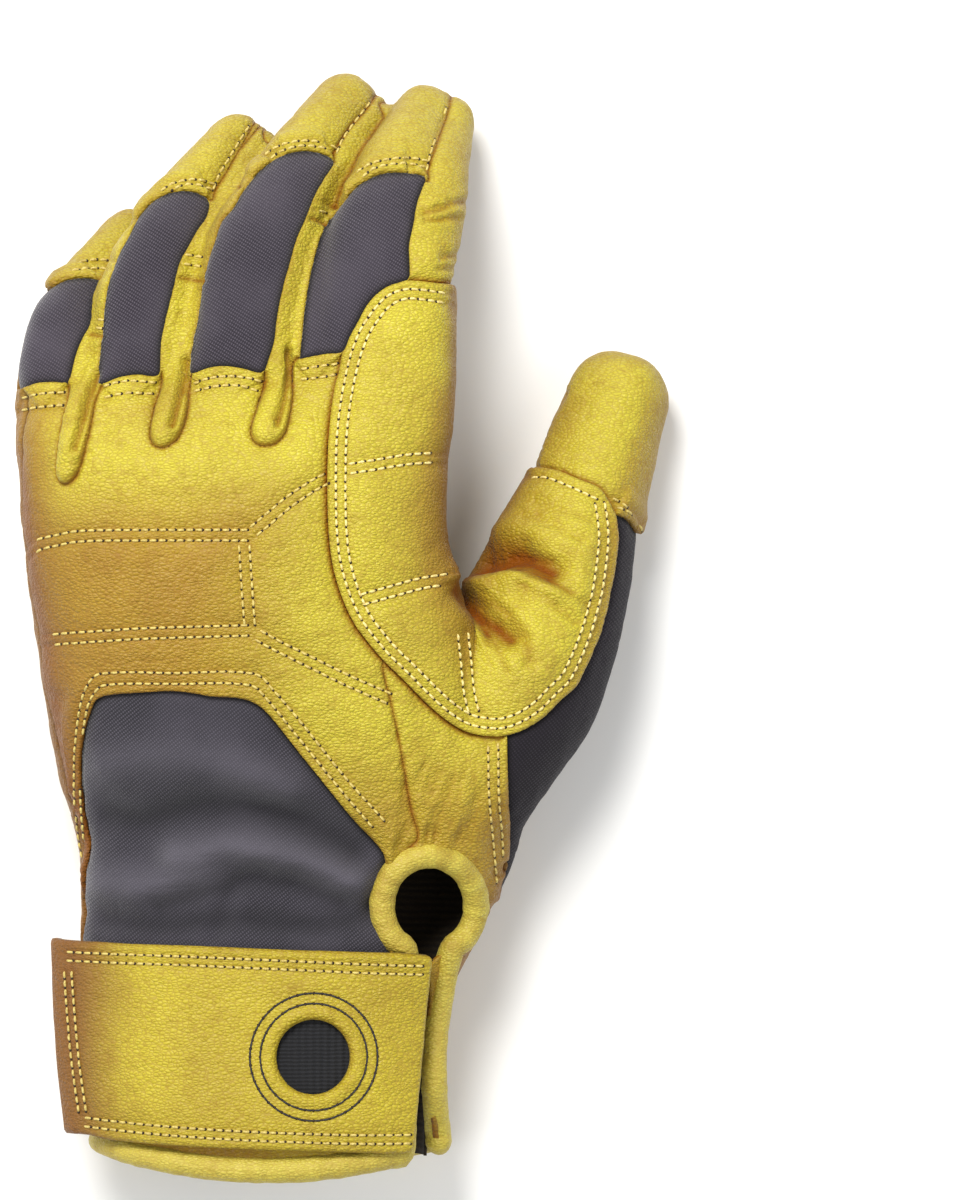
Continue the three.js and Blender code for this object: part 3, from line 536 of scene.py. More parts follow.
@dataclass
class Digit:
    """One digit: the place of its knuckle, its bones and their turns, and its sizes."""

    name: str
    root: tuple[float, float, float]
    bones: tuple[float, float, float]
    yaw: tuple[float, float, float]
    pitch: tuple[float, float, float]
    roll: float
    width: float
    depth: float
    square: float
    profile: tuple
    line: Array = field(init=False)
    across: Array = field(init=False)
    up: Array = field(init=False)
    length: float = field(init=False)
    shares: Array = field(init=False)

    def __post_init__(self) -> None:
        """Lays the digit's line and the frames along it."""
        joints = [np.array(self.root) * (104.0, 186.0, 42.0)]
        for bone, yaw, pitch in zip(self.bones, np.radians(self.yaw), np.radians(self.pitch)):
            step = np.array([math.sin(yaw) * math.cos(pitch), math.cos(yaw) * math.cos(pitch),
                             math.sin(pitch)])
            joints.append(joints[-1] + step * bone)
        ends = [2 * joints[0] - joints[1], *joints, 2 * joints[-1] - joints[-2]]
        dense = []
        for p0, p1, p2, p3 in zip(ends[:-3], ends[1:-2], ends[2:-1], ends[3:]):
            d0, d1, d2 = (math.sqrt(np.linalg.norm(b - a)) for a, b in ((p0, p1), (p1, p2), (p2, p3)))
            t1 = ((p1 - p0) / d0 - (p2 - p0) / (d0 + d1) + (p2 - p1) / d1) * d1
            t2 = ((p2 - p1) / d1 - (p3 - p1) / (d1 + d2) + (p3 - p2) / d2) * d1
            for t in np.arange(60) / 60.0:
                dense.append(p1 + t1 * t + (-3 * p1 + 3 * p2 - 2 * t1 - t2) * t**2
                             + (2 * p1 - 2 * p2 + t1 + t2) * t**3)
        dense = np.array([*dense, joints[-1]]) + SHIFT
        lengths = np.concatenate([[0], np.cumsum(np.linalg.norm(np.diff(dense, axis=0), axis=1))])
        self.length = float(lengths[-1])
        self.shares = np.linspace(-0.15, 1.15, 131)
        at = np.clip(self.shares, 0, 1) * self.length
        core = np.column_stack([np.interp(at, lengths, dense[:, k]) for k in range(3)])
        tangent = np.gradient(dense, axis=0)
        tangent = np.column_stack([np.interp(at, lengths, tangent[:, k]) for k in range(3)])
        tangent /= np.linalg.norm(tangent, axis=1)[:, None]
        past = (self.shares - np.clip(self.shares, 0, 1)) * self.length
        self.line = core + tangent * past[:, None]
        level = np.column_stack([tangent[:, 1], -tangent[:, 0], np.zeros(len(core))])
        level /= np.linalg.norm(level, axis=1)[:, None]
        rise = np.cross(level, tangent)
        c, s = math.cos(math.radians(self.roll)), math.sin(math.radians(self.roll))
        self.across = level * c - rise * s
        self.up = rise * c + level * s

    def half_sizes(self, shares: Array) -> tuple[Array, Array]:
        """Half width and half depth at shares of the line, softened between the table's rows."""
        table = np.array(self.profile)
        fine = np.linspace(-0.3, 1.3, 161)
        kernel = np.exp(-((np.arange(-9, 10) / 5.0) ** 2))
        kernel /= kernel.sum()
        out = []
        for column, size in ((1, self.width), (2, self.depth)):
            soft = np.convolve(np.interp(fine, table[:, 0], table[:, column]), kernel, "same")
            soft[:10], soft[-10:] = soft[10], soft[-11]
            out.append(np.interp(shares, fine, soft) * size / 2)
        return out[0], out[1]

    def rings(self) -> list[Array]:
        """Closed rings of the digit's outside, with a round tip."""
        turns = np.linspace(0, 2 * np.pi, 40, endpoint=False)
        ring_x = np.sign(np.cos(turns)) * np.abs(np.cos(turns)) ** (2 / self.square)
        ring_z = np.sign(np.sin(turns)) * np.abs(np.sin(turns)) ** (2 / self.square)
        rings = []
        places = [(share, 0.0, 1.0) for share in np.linspace(0, 1, 46)]
        for turn in np.radians([8, 18, 28, 38, 48, 58, 67, 76, 84]):
            places.append((1.0, math.sin(turn), math.cos(turn) ** 0.62))
        for share, past, scale in places:
            row = int(np.argmin(np.abs(self.shares - share)))
            at = [np.interp(share, self.shares, self.line[:, k]) for k in range(3)]
            w, d = self.half_sizes(np.array([share]))
            forward = np.cross(self.up[row], self.across[row])
            centre = np.array(at) + forward * past * d
            ring = (centre + np.outer(ring_x * w * scale, self.across[row])
                    + np.outer(ring_z * d * scale, self.up[row]))
            ring[:, 2] = np.maximum(ring[:, 2], 0.0)
            rings.append(ring)
        return rings

    def local(self, points: Array) -> tuple[Array, Array, Array, Array]:
        """Share along the line, side and height as shares of the half sizes, and the gap to the skin."""
        share = np.full(len(points), -0.15)
        side, height, gap = np.full(len(points), 9.0), np.full(len(points), 0.0), np.full(len(points), FAR)
        low, high = self.line.min(0) - 30, self.line.max(0) + 30
        near = np.where(((points > low) & (points < high)).all(1))[0]
        for part in np.array_split(near, max(1, len(near) // 4000)):
            rel = points[part, None, :] - self.line[None]
            best = (rel**2).sum(2).argmin(1)
            rel = rel[np.arange(len(part)), best]
            forward = np.cross(self.up[best], self.across[best])
            share[part] = self.shares[best] + (rel * forward).sum(1) / self.length
            w, d = self.half_sizes(np.clip(share[part], 0, 1))
            side[part] = (rel * self.across[best]).sum(1) / w
            height[part] = (rel * self.up[best]).sum(1) / d
            radius = (np.abs(side[part]) ** self.square + np.abs(height[part]) ** self.square)
            over = np.maximum(share[part] - 1.0, 0.0) * self.length
            gap[part] = (radius ** (1 / self.square) - 1) * np.minimum(w, d) + over
        return share, side, height, gap


DIGITS = {
    digit.name: digit for digit in (
        Digit("little", (-0.385, 0.9, 0.84), (27.2, 18.4, 16), (5.4, 22.6, 36.5), (-8, -36, -40), 0,
              18, 21.5, 2.8, FINGER_PROFILE),
        Digit("ring", (-0.2105, 0.925, 0.905), (36.6, 22.2, 21.2), (6.3, 28, 37.6), (-7, -27, -37), 0,
              21.5, 23.5, 2.8, FINGER_PROFILE),
        Digit("middle", (0.0165, 0.925, 0.955), (40, 24.4, 24.8), (7.3, 24.6, 36.5), (-5, -24, -40), 0,
              24, 25, 2.8, FINGER_PROFILE),
        Digit("index", (0.33, 0.925, 0.955), (39.8, 21.2, 22), (4.3, 14.2, 19.2), (-4, -25, -46), 0,
              31, 27, 2.8, INDEX_PROFILE),
        Digit("thumb", (0.4875, 0.469, 0.56), (43.8, 29.8, 29.3), (28.6, 19.3, 19.1), (-2, -8, -12), 62,
              27, 27, 2.4, THUMB_PROFILE),
    )
}
FINGERS = ("little", "ring", "middle", "index")
WEBS = ((("little", "ring"), 4.2, 0.5, 4.0), (("ring", "middle"), 4.4, 0.55, 4.5),
        (("middle", "index"), 5.8, 0.6, 5.0))


@dataclass
class Skin:
    """A triangle skin with a label per face and named values per point."""

    points: Array
    faces: Array
    values: dict[str, Array]
    labels: Array = field(init=False)

    def __post_init__(self) -> None:
        """Starts with every face free."""
        self.labels = np.zeros(len(self.faces), int)

    def edges(self) -> tuple[Array, Array, Array]:
        """Ends of each edge, and the three edges of each face."""
        count = len(self.points)
        pairs = np.sort(np.stack([self.faces, np.roll(self.faces, -1, axis=1)], axis=2), axis=2)
        keys = pairs[..., 0].astype(np.int64) * count + pairs[..., 1]
        unique, inverse = np.unique(keys.reshape(-1), return_inverse=True)
        return unique // count, unique % count, inverse.reshape(-1, 3)

    def split(self, chosen: Array, share: Array, low: Array, high: Array, of_face: Array) -> None:
        """Puts a point on each chosen edge and splits the faces that have it."""
        at = share[chosen, None]
        a, b = low[chosen], high[chosen]
        fresh = np.full(len(low), -1)
        fresh[chosen] = len(self.points) + np.arange(len(a))
        self.points = np.vstack([self.points, self.points[a] * (1 - at) + self.points[b] * at])
        for key, value in self.values.items():
            new = value[a] * (1 - at[:, 0]) + value[b] * at[:, 0]
            self.values[key] = np.concatenate([value, new])
        flags = chosen[of_face]
        count = flags.sum(1)
        rows, labels = [self.faces[count == 0]], [self.labels[count == 0]]

        def turned(mask: Array, start: Array) -> tuple[Array, Array]:
            order = (start[:, None] + np.arange(3)) % 3
            return (np.take_along_axis(self.faces[mask], order, 1),
                    fresh[np.take_along_axis(of_face[mask], order, 1)])

        def add(mask: Array, *triangles: tuple[Array, Array, Array]) -> None:
            for triangle in triangles:
                rows.append(np.column_stack(triangle))
                labels.append(self.labels[mask])

        one, two, three = count == 1, count == 2, count == 3
        f, m = turned(one, flags[one].argmax(1))
        add(one, (f[:, 0], m[:, 0], f[:, 2]), (m[:, 0], f[:, 1], f[:, 2]))
        f, m = turned(two, (flags[two].argmin(1) + 2) % 3)
        add(two, (f[:, 0], m[:, 0], m[:, 2]), (m[:, 0], f[:, 1], f[:, 2]), (m[:, 0], f[:, 2], m[:, 2]))
        f, m = turned(three, np.zeros(three.sum(), int))
        add(three, (f[:, 0], m[:, 0], m[:, 2]), (m[:, 0], f[:, 1], m[:, 1]),
            (m[:, 2], m[:, 1], f[:, 2]), (m[:, 0], m[:, 1], m[:, 2]))
        self.faces, self.labels = np.vstack(rows), np.concatenate(labels)

    def cut(self, value: Array, label: int) -> None:
        """Labels the free faces where a value is below zero, split along its zero line."""
        value = np.where(np.abs(value) < 0.07, 0.0, value)
        free = self.labels == 0
        low, high, of_face = self.edges()
        used = np.zeros(len(low), bool)
        used[of_face[free].reshape(-1)] = True
        crossing = (value[low] * value[high] < 0) & used
        gap = value[low] - value[high]
        share = np.where(crossing, value[low] / np.where(crossing, gap, 1.0), 0.5)
        self.values["_cut"] = value
        self.split(crossing, share, low, high, of_face)
        final = self.values.pop("_cut")
        final[-int(crossing.sum()):] *= 0.0 if crossing.any() else 1.0
        inside = (final[self.faces].mean(1) < 0) & (self.labels == 0)
        self.labels[inside] = label

    def refine(self, zone: Array, longest: float) -> None:
        """Halves the edges in a zone that are longer than a length."""
        low, high, of_face = self.edges()
        length = np.linalg.norm(self.points[low] - self.points[high], axis=1)
        chosen = zone[low] & zone[high] & (length > longest)
        self.split(chosen, np.full(len(low), 0.5), low, high, of_face)

    def relax(self, rounds: int, weight: Array | float = 1.0) -> None:
        """Moves each point towards the mean of its neighbours."""
        low, high, _ = self.edges()
        self.points = spread(self.points, low, high, rounds, weight)

    def normals(self) -> Array:
        """Outward normals at the points."""
        a, b, c = (self.points[self.faces[:, k]] for k in range(3))
        face = np.cross(b - a, c - a)
        out = np.column_stack([
            sum(np.bincount(self.faces[:, k], face[:, axis], len(self.points)) for k in range(3))
            for axis in range(3)])
        return out / np.maximum(np.linalg.norm(out, axis=1), 1e-9)[:, None]


def spread(value: Array, low: Array, high: Array, rounds: int, weight: Array | float = 0.5) -> Array:
    """Evens a value out over a mesh's edges.

    Args:
        value: One number or row of numbers per point.
        low: First end of each edge.
        high: Second end of each edge.
        rounds: How many times each point moves towards its neighbours' mean.
        weight: How far it moves each time, from 0 to 1.

    Returns:
        The evened value.
    """
    flat = value.ndim == 1
    value = value.reshape(len(value), -1).astype(float)
    degree = np.maximum(np.bincount(low, minlength=len(value)) + np.bincount(high, minlength=len(value)), 1)
    share = np.broadcast_to(np.asarray(weight, float), (len(value),))[:, None]
    for _ in range(rounds):
        mean = np.column_stack([
            (np.bincount(low, value[high, k], len(value)) + np.bincount(high, value[low, k], len(value)))
            / degree for k in range(value.shape[1])])
        value = value + share * (mean - value)
    return value[:, 0] if flat else value


@dataclass
class HandForm:
    """The hand that the glove is cut over: sections from cuff to webs, and the five digits."""

    length: float = 186.0
    width: float = 104.0
    depth: float = 42.0
    voxel: float = 1.1
    binding_radius: float = 3.0
    hem_rise: float = 6.0

    def section(self, along: Array | float) -> dict[str, Array]:
        """Centre, lift, half width, half depth and exponent of the hand at shares of its length."""
        table = np.array(HAND_SECTIONS)
        fine = np.linspace(-0.1, 1.1, 481)
        kernel = np.exp(-((np.arange(-14, 15) / 7.0) ** 2))
        kernel /= kernel.sum()
        out = {}
        for k, name in enumerate(SECTION_COLUMNS[1:], 1):
            soft = np.convolve(np.interp(fine, table[:, 0], table[:, k]), kernel, "same")
            soft[:15], soft[-15:] = soft[15], soft[-16]
            out[name] = np.interp(along, fine, soft)
        return {"centre": out["centre"] * self.width + SHIFT[0], "lift": out["lift"] * self.depth,
                "half_width": out["width"] * self.width / 2,
                "half_depth": out["depth"] * self.depth / 2, "square": out["square"]}

    def along(self, y: Array | float) -> Array | float:
        """Share of the hand's length at a place along the part's Y axis."""
        return (y - SHIFT[1]) / self.length

    def skin_point(self, y: Array, turn: Array, offset: Array | float = 0.0) -> Array:
        """Points on the hand's skin at turns about its middle, grown by an offset."""
        s = self.section(self.along(y))
        c, n = np.cos(turn), np.sin(turn)
        x = s["centre"] + (s["half_width"] + offset) * np.sign(c) * np.abs(c) ** (2 / s["square"])
        z = s["lift"] + (s["half_depth"] + offset) * np.sign(n) * np.abs(n) ** (2 / s["square"])
        return np.column_stack([x, np.broadcast_to(y, x.shape), np.maximum(z, np.maximum(0.0, -offset))])

    def top(self, x: Array, y: Array, offset: float = 0.0) -> Array:
        """Height of the back of the hand over places in the plan."""
        s = self.section(self.along(y))
        reach = np.clip(np.abs(x - s["centre"]) / (s["half_width"] + offset), 0, 0.999)
        rise = (1 - reach ** s["square"]) ** (1 / s["square"])
        return s["lift"] + (s["half_depth"] + offset) * rise

    def turn_at(self, x: float, y: float, offset: float = 0.0) -> float:
        """The turn on the back of the hand that lies over a place in the plan."""
        s = self.section(self.along(y))
        reach = (x - s["centre"]) / (s["half_width"] + offset)
        size = min(1.0, abs(reach)) ** (s["square"] / 2)
        return math.acos(math.copysign(size, reach))

    def hem_line(self, x: Array | float) -> Array | float:
        """Y of the hem at a sideways place."""
        s = self.section(0.0)
        share = np.minimum(1.0, ((x - s["centre"]) / s["half_width"]) ** 2)
        return self.binding_radius + self.hem_rise * share + SHIFT[1]

    @staticmethod
    def web(one: Digit, other: Digit, radius: float, reach: float, lift: float) -> list[Array]:
        """Rings of the folded leather that fills the valley between two fingers."""
        turns = np.linspace(0, 2 * np.pi, 20, endpoint=False)
        rings = []
        for t in np.linspace(0.0, 1.0, 14):
            share = reach * t
            places = []
            for digit in (one, other):
                at = [np.interp(share * one.length / digit.length, digit.shares, digit.line[:, k])
                      for k in range(3)]
                places.append(np.array(at))
            middle = (places[0] + places[1]) / 2 + (0, 0, lift - 2.5 * t)
            size = radius * (1 - 0.35 * t) * (0.4 if t > 0.99 else 1.0)
            rings.append(middle + size * np.column_stack([np.cos(turns), 0 * turns, 1.25 * np.sin(turns)]))
        return rings

    def build_skin(self) -> Skin:
        """Joins the lofts of hand and digits into one even skin and relaxes it."""
        points, faces = [], []

        def loft(rings: list[Array]) -> None:
            base, count = sum(len(p) for p in points), len(rings[0])
            points.extend([*rings, rings[0].mean(0)[None], rings[-1].mean(0)[None]])
            first, last = base + count * len(rings), base + count * len(rings) + 1
            for r in range(len(rings) - 1):
                for i in range(count):
                    j = (i + 1) % count
                    a, b = base + r * count, base + (r + 1) * count
                    faces.append((a + i, a + j, b + j, b + i))
            for i in range(count):
                j, end = (i + 1) % count, base + count * (len(rings) - 1)
                faces.append((first, base + j, base + i))
                faces.append((last, end + i, end + j))

        turns = np.linspace(0, 2 * np.pi, 72, endpoint=False)
        loft([self.skin_point(np.float64(a * self.length + SHIFT[1]), turns)
              for a in np.linspace(-0.02, 0.99, 90)])
        for digit in DIGITS.values():
            loft(digit.rings())
        for (one, other), radius, reach, lift in WEBS:
            loft(self.web(DIGITS[one], DIGITS[other], radius, reach, lift))
        mesh = bpy.data.meshes.new("hand_form")
        mesh.from_pydata((np.vstack(points) * MM).tolist(), [], faces)
        form = bpy.data.objects.new("hand_form", mesh)
        bpy.context.scene.collection.objects.link(form)
        remesh = form.modifiers.new("even", "REMESH")
        remesh.mode, remesh.voxel_size, remesh.adaptivity = "VOXEL", self.voxel * MM, 0.0
        graph = bpy.context.evaluated_depsgraph_get()
        even = form.evaluated_get(graph).to_mesh()
        co = np.empty(len(even.vertices) * 3, np.float32)
        even.vertices.foreach_get("co", co)
        even.calc_loop_triangles()
        tri = np.empty(len(even.loop_triangles) * 3, np.int32)
        even.loop_triangles.foreach_get("vertices", tri)
        skin = Skin(co.reshape(-1, 3).astype(float) / MM, tri.reshape(-1, 3).astype(int), {})
        form.evaluated_get(graph).to_mesh_clear()
        bpy.data.objects.remove(form)
        bpy.data.meshes.remove(mesh)
        skin.relax(6, 0.5)
        self.measure(skin)
        others = np.minimum.reduce([skin.values[f"{n}.gap"] for n in DIGITS])
        joint = np.exp(-(((others - skin.values["hand.gap"]) / 5.0) ** 2))
        root = smoothstep(0.45, 0.1, skin.values["nearest.share"])
        skin.relax(45, 0.5 * joint * root)
        self.measure(skin)
        return skin

    def measure(self, skin: Skin) -> None:
        """Gives the skin its places in the hand's and each digit's own frame."""
        values, points = skin.values, skin.points
        gaps = []
        for name, digit in DIGITS.items():
            share, side, height, gap = digit.local(points)
            values.update({f"{name}.share": share, f"{name}.side": side, f"{name}.height": height,
                           f"{name}.gap": gap})
            gaps.append(gap)
        s = self.section(self.along(points[:, 1]))
        side = (points[:, 0] - s["centre"]) / s["half_width"]
        height = (points[:, 2] - s["lift"]) / s["half_depth"]
        radius = (np.abs(side) ** s["square"] + np.abs(height) ** s["square"]) ** (1 / s["square"])
        past = np.maximum(self.along(points[:, 1]) - 0.99, 0) * self.length
        values["hand.gap"] = (radius - 1) * np.minimum(s["half_width"], s["half_depth"]) + past
        values["hand.side"], values["hand.height"] = side, height
        for name, gap in zip(DIGITS, gaps):
            rest = np.minimum.reduce([g for other, g in zip(DIGITS, gaps) if other != name])
            values[f"{name}.own"] = gap - rest
        nearest = np.argmin(gaps, axis=0)
        shares = np.stack([values[f"{n}.share"] for n in DIGITS])
        values["nearest.share"] = shares[nearest, np.arange(len(points))]


# Seams, channels and creases
class Layer(Enum):
    """How a panel lies against the next one."""

    UNDER = 0
    FLUSH = 1
    OVER = 2


@dataclass(frozen=True)
class Panel:
    """A panel: its node, finish, layer, how far edge and middle stand up, and how much painted top light its
    up-facing faces get.
    """

    node: str
    dress: Dress
    layer: Layer = Layer.FLUSH
    lap: float = 0.55
    puff: float = 0.5
    # Painted top light on up-facing faces; it also takes away most of the painted side shade there.
    lit: float = 0.0


@dataclass(frozen=True)
class Fold:
    """A crease (depth above zero) or ridge (below zero) along a line; its tint is painted shade in the crease."""

    path: Path
    depth: float
    width: float
    tint: float = 0.4
    top: bool = True


@dataclass(frozen=True)
class Crumple:
    """Fine wrinkles in a patch: middle, half sizes and turn of the patch, spacing and height."""

    middle: tuple[float, float]
    reach: tuple[float, float]
    turn_deg: float
    wave: float
    height: float
    top: bool = True


@dataclass(frozen=True)
class Row:
    """Rows of lockstitch beside a line, at the given offsets to its left."""

    path: Path
    offsets: tuple[float, ...] = (0.0,)
    cream: bool = False
    top: bool = True
    closed: bool = False
    black: bool = False


DARK_OUTLINES = {
    "little": (
        (-77.4, 55.4), (-73.4, 54.9), (-69.2, 56.1), (-64.6, 56.3), (-62, 56.1), (-60.9, 59.6),
        (-59.9, 63.7), (-57.6, 68.9), (-55.3, 73), (-53, 76.3), (-51.6, 78.9), (-53, 80),
        (-55.3, 80.7), (-59.9, 81.2), (-63.4, 80.5), (-66.4, 78.9), (-69.2, 77.7), (-71.6, 75.8),
        (-76.2, 66.5), (-78.1, 59.6)),
    "ring": (
        (-54.8, 55.8), (-50.6, 57.2), (-46, 57.9), (-40.9, 57.7), (-40.4, 60.7), (-40.2, 65.4),
        (-39, 71.2), (-37.4, 78.2), (-36, 84), (-34.3, 87.5), (-32, 92.1), (-30.2, 94.9),
        (-29.5, 98.4), (-30.4, 99.8), (-34.3, 101.2), (-38.1, 101.2), (-41.6, 100), (-44.3, 97.5),
        (-46.4, 94.7), (-48.8, 89.8), (-51.6, 84.7), (-53, 79.3), (-53.9, 73.5), (-54.6, 65.4),
        (-55, 59.6)),
    "middle": (
        (-33.6, 58.2), (-29.7, 59.3), (-26.2, 59.8), (-21.6, 59.3), (-16.9, 58.2), (-15.7, 60.7),
        (-14.1, 65.4), (-13.4, 71.2), (-12.3, 77), (-10.4, 84), (-8.8, 89.8), (-6.4, 95.6),
        (-4.6, 100.3), (-2.5, 104.2), (-0.4, 108.2), (-3, 109.8), (-6.9, 110.5), (-11.1, 110),
        (-14.6, 108.6), (-17.1, 106.5), (-18.8, 104.7), (-22, 100.3), (-23.9, 96.8), (-26.9, 93.3),
        (-28.5, 88.6), (-30.2, 84), (-31.3, 78.2), (-32.5, 70), (-33.6, 64.2)),
    "index": (
        (-9.2, 61.4), (-6.4, 61.9), (-1.8, 62.6), (1.7, 63), (3.3, 66.5), (5.2, 70), (7, 73.5),
        (9.4, 76.3), (12.2, 78.2), (15, 79.1), (16.8, 79.8), (17, 82.8), (16.8, 87.5), (17.7, 92.1),
        (18.7, 97.9), (20.1, 101.9), (20.8, 104), (18.7, 104.7), (14.5, 105.1), (11, 104.9),
        (7.5, 103.7), (4.7, 102.1), (1.9, 99.1), (-0.6, 96.3), (-2.5, 93.3), (-4.6, 89.8), (-6, 85.1),
        (-7.4, 79.3), (-8.8, 72.3), (-9.5, 65.4)),
}
CAP_OUTLINES = {
    "little": (
        (-71.6, 75.8), (-66.4, 78.9), (-63.4, 80.5), (-59.9, 81.2), (-55.3, 80.7), (-51.3, 79.8),
        (-49.7, 84.7), (-48.3, 89.8), (-46.7, 95.8), (-43.6, 99.1), (-50.6, 101.4), (-64.6, 99.1),
        (-73.9, 85.1)),
    "ring": (
        (-49.7, 92.6), (-46.4, 94.7), (-44.3, 97.5), (-41.6, 100), (-38.1, 101.2), (-34.3, 101.2),
        (-30.4, 99.8), (-28.8, 99.1), (-27.8, 102.1), (-26.4, 104.7), (-25, 107.2), (-22.5, 112.3),
        (-19.9, 117.7), (-17.6, 123.5), (-32, 124.7), (-48.3, 106.1), (-49.5, 94.4)),
    "middle": (
        (-22.7, 101.4), (-18.8, 104.7), (-17.1, 106.5), (-14.6, 108.6), (-11.1, 110), (-6.9, 110.5),
        (-3, 109.8), (-0.2, 107.7), (0.3, 111.6), (3.1, 116.8), (6.8, 121.2), (9.6, 126.1),
        (11.7, 132.6), (-8.8, 134), (-25, 113)),
    "index": (
        (-1.8, 97.2), (1.9, 99.1), (4.7, 102.1), (7.5, 103.7), (11, 104.9), (14.5, 105.1),
        (18.7, 104.7), (21.2, 102.8), (21.5, 106.5), (22.6, 110.3), (24.5, 116.1), (25.9, 120.5),
        (26.6, 124.7), (27, 130.3), (14.5, 132.6), (-1.8, 113)),
}
TONGUES = {
    ("little", "ring"): (
        (-61.8, 56.1), (-63.2, 46.8), (-64.6, 36.1), (-63.9, 33.5), (-62.3, 32.6), (-60.4, 33.5),
        (-58.5, 36.8), (-56.4, 45.6), (-54.6, 54.9)),
    ("ring", "middle"): (
        (-40.2, 58.2), (-41.8, 50.3), (-42.7, 44.4), (-42, 41.9), (-39.9, 40.9), (-37.4, 41.9),
        (-35.5, 44.2), (-33.9, 50.3), (-33.4, 58.2)),
    ("middle", "index"): (
        (-16.2, 57.7), (-18.1, 50.3), (-19.5, 44.9), (-18.5, 42.3), (-16.2, 41.4), (-13.4, 42.1),
        (-11.3, 44.7), (-9.9, 52.6), (-9.5, 61.4)),
}
PALM_TONGUES = {
    ("little", "ring"): (
        (-57.1, 74.9), (-56, 63.1), (-54.8, 53.6), (-52.4, 51), (-49.4, 53), (-47.3, 60.1),
        (-46.3, 71.9)),
    ("ring", "middle"): (
        (-28.3, 74.9), (-27.5, 66), (-25.7, 60.1), (-22.4, 58.1), (-18.8, 60.1), (-16.8, 66),
        (-16.5, 74.9)),
    ("middle", "index"): ((-0.1, 77.8), (0.5, 69), (2.5, 63.1), (5.1, 61.3), (7.6, 63.7), (9.2, 69), (9.2, 77.8)),
}
FRONT_SHARES = {"little": (0.42, 1.02), "ring": (0.4, 1.03), "middle": (0.38, 1.03), "index": (0.4, 1.03)}
WEB_MIDDLE = (39.6, 14)
STRAP_OUTLINE = (
        (-92.5, -72.1), (-65, -73), (-50.6, -73.5), (-32, -73.9), (-8.8, -74.9), (9.8, -75.6),
        (21, -76.5), (22.2, -77.2), (22.2, -79.1), (21.2, -89.3), (20.3, -100.9), (19.1, -112.5),
        (18.4, -120.4), (17.7, -121.6), (15.4, -122.1), (0.5, -121.4), (-18.1, -120.7), (-36.7, -120),
        (-53, -119.1), (-59, -118.1), (-92.5, -116.7))
THUMB_CAP_OUTLINE = (
        (35.4, 34), (40.5, 35.8), (44, 37), (48.2, 37.2), (51.7, 36.1), (56.4, 34), (61, 31.9),
        (63.3, 28.9), (64.7, 26.1), (67.5, 24.9), (69.8, 22.3), (71.2, 19.3), (84.3, 15.4),
        (93.6, 75.8), (51.7, 80.5))
PATCH_EDGE = (
        (27.5, 78.2), (22.6, 78.9), (19.1, 79.3), (15.7, 79.3), (12.2, 78.2), (9.4, 76.3), (6.6, 73),
        (4, 68.9), (1.7, 63), (0.1, 56.1), (-0.9, 50.3), (-1.6, 43.3), (-1.8, 36.3), (-1.8, 29.3),
        (-1.6, 22.3), (-0.9, 15.4), (0.5, 9.6), (2.2, 4.9), (4.5, 0.3), (8, -4.4), (11, -7.9),
        (15.7, -12.5), (20.3, -17.2), (25, -21.4), (29.6, -24.2), (34.3, -25.3), (38.9, -25.3),
        (43.6, -23.7), (48.2, -20.7), (51.7, -17.2), (55.2, -13.7), (58.2, -7.9), (60.5, -2.1),
        (62.2, 3.7), (63.3, 8.4), (64.3, 15.4), (64.7, 20), (64.5, 24.7), (63.8, 29.3))
PATCH_OUTER = ((61, 31.9), (51.7, 36.1), (44, 37), (38.9, 34.4), (33.1, 47.9), (30.8, 68.9))
THUMB_STRETCH_OUTLINE = (
        (72.6, 28.2), (64.7, 28.2), (61, 15.4), (51.7, -3.2), (39.4, -17.2), (39.4, -26),
        (39.6, -40.4), (39.8, -54.9), (37.7, -64.9), (51.7, -73), (84.3, -45.1), (98.2, 6.1),
        (88.9, 34))
WRIST_OUTLINE = (
        (-57.1, -20), (-55.5, -17), (-52.5, -15.8), (-43.6, -15.1), (-36.7, -14.9), (-28.5, -16),
        (-21.6, -16.5), (-18.1, -17.9), (-15.7, -20), (-12.3, -24.2), (-8.8, -28.8), (-4.1, -34.6),
        (0.5, -40.4), (5.2, -46.3), (8.9, -50.2), (11, -53.2), (11.7, -63.7), (12.6, -87),
        (12.6, -114.4), (-22.7, -115.3), (-58.5, -113.9), (-59, -87), (-59.9, -68.4), (-59.2, -61.4),
        (-58.8, -56.7), (-58.5, -52.1), (-59.5, -47.4), (-59.9, -40.4), (-59.9, -33.5), (-59.5, -28.8),
        (-58.5, -23.7))
BACK_OUTLINE = (
        (-125, -142.8), (14.5, -142.8), (14.5, -54.4), (18.7, -49.3), (17.3, -42.8), (16.1, -35.8),
        (14.5, -26.5), (12.6, -17.2), (11, -7.9), (19.1, 15.4), (23.8, 87.5), (19.1, 110.7),
        (-125, 110.7))
THUMB_BACK_OUTLINE = (
        (14.5, -142.8), (14.5, -54.4), (18.7, -49.3), (17.3, -42.8), (16.1, -35.8), (14.5, -26.5),
        (12.6, -17.2), (11, -7.9), (23.8, 15.4), (51.7, 20), (70.3, -31.1), (39.8, -54.9),
        (40.5, -64.9), (33.1, -142.8))
THENAR_OUTLINE = (
        (-39.3, -20.9), (-40.3, -35.8), (-36.1, -50.7), (-25.7, -61.9), (-11.2, -71.2), (3.4, -69.3),
        (17.9, -63.7), (34.6, -65.6), (119.9, -65.6), (119.9, 75.8), (38.7, 57.2), (29.4, 8.8),
        (5.5, -2.3), (-15.3, -11.6))
PALM_PATCH_OUTLINE = (
        (-75.1, 18.1), (-51.7, 8.8), (-36.1, -13.5), (-15.3, -11.6), (-0.8, -0.5), (3.4, 12.5),
        (26.3, 20), (26.3, 47), (-75.1, 47))

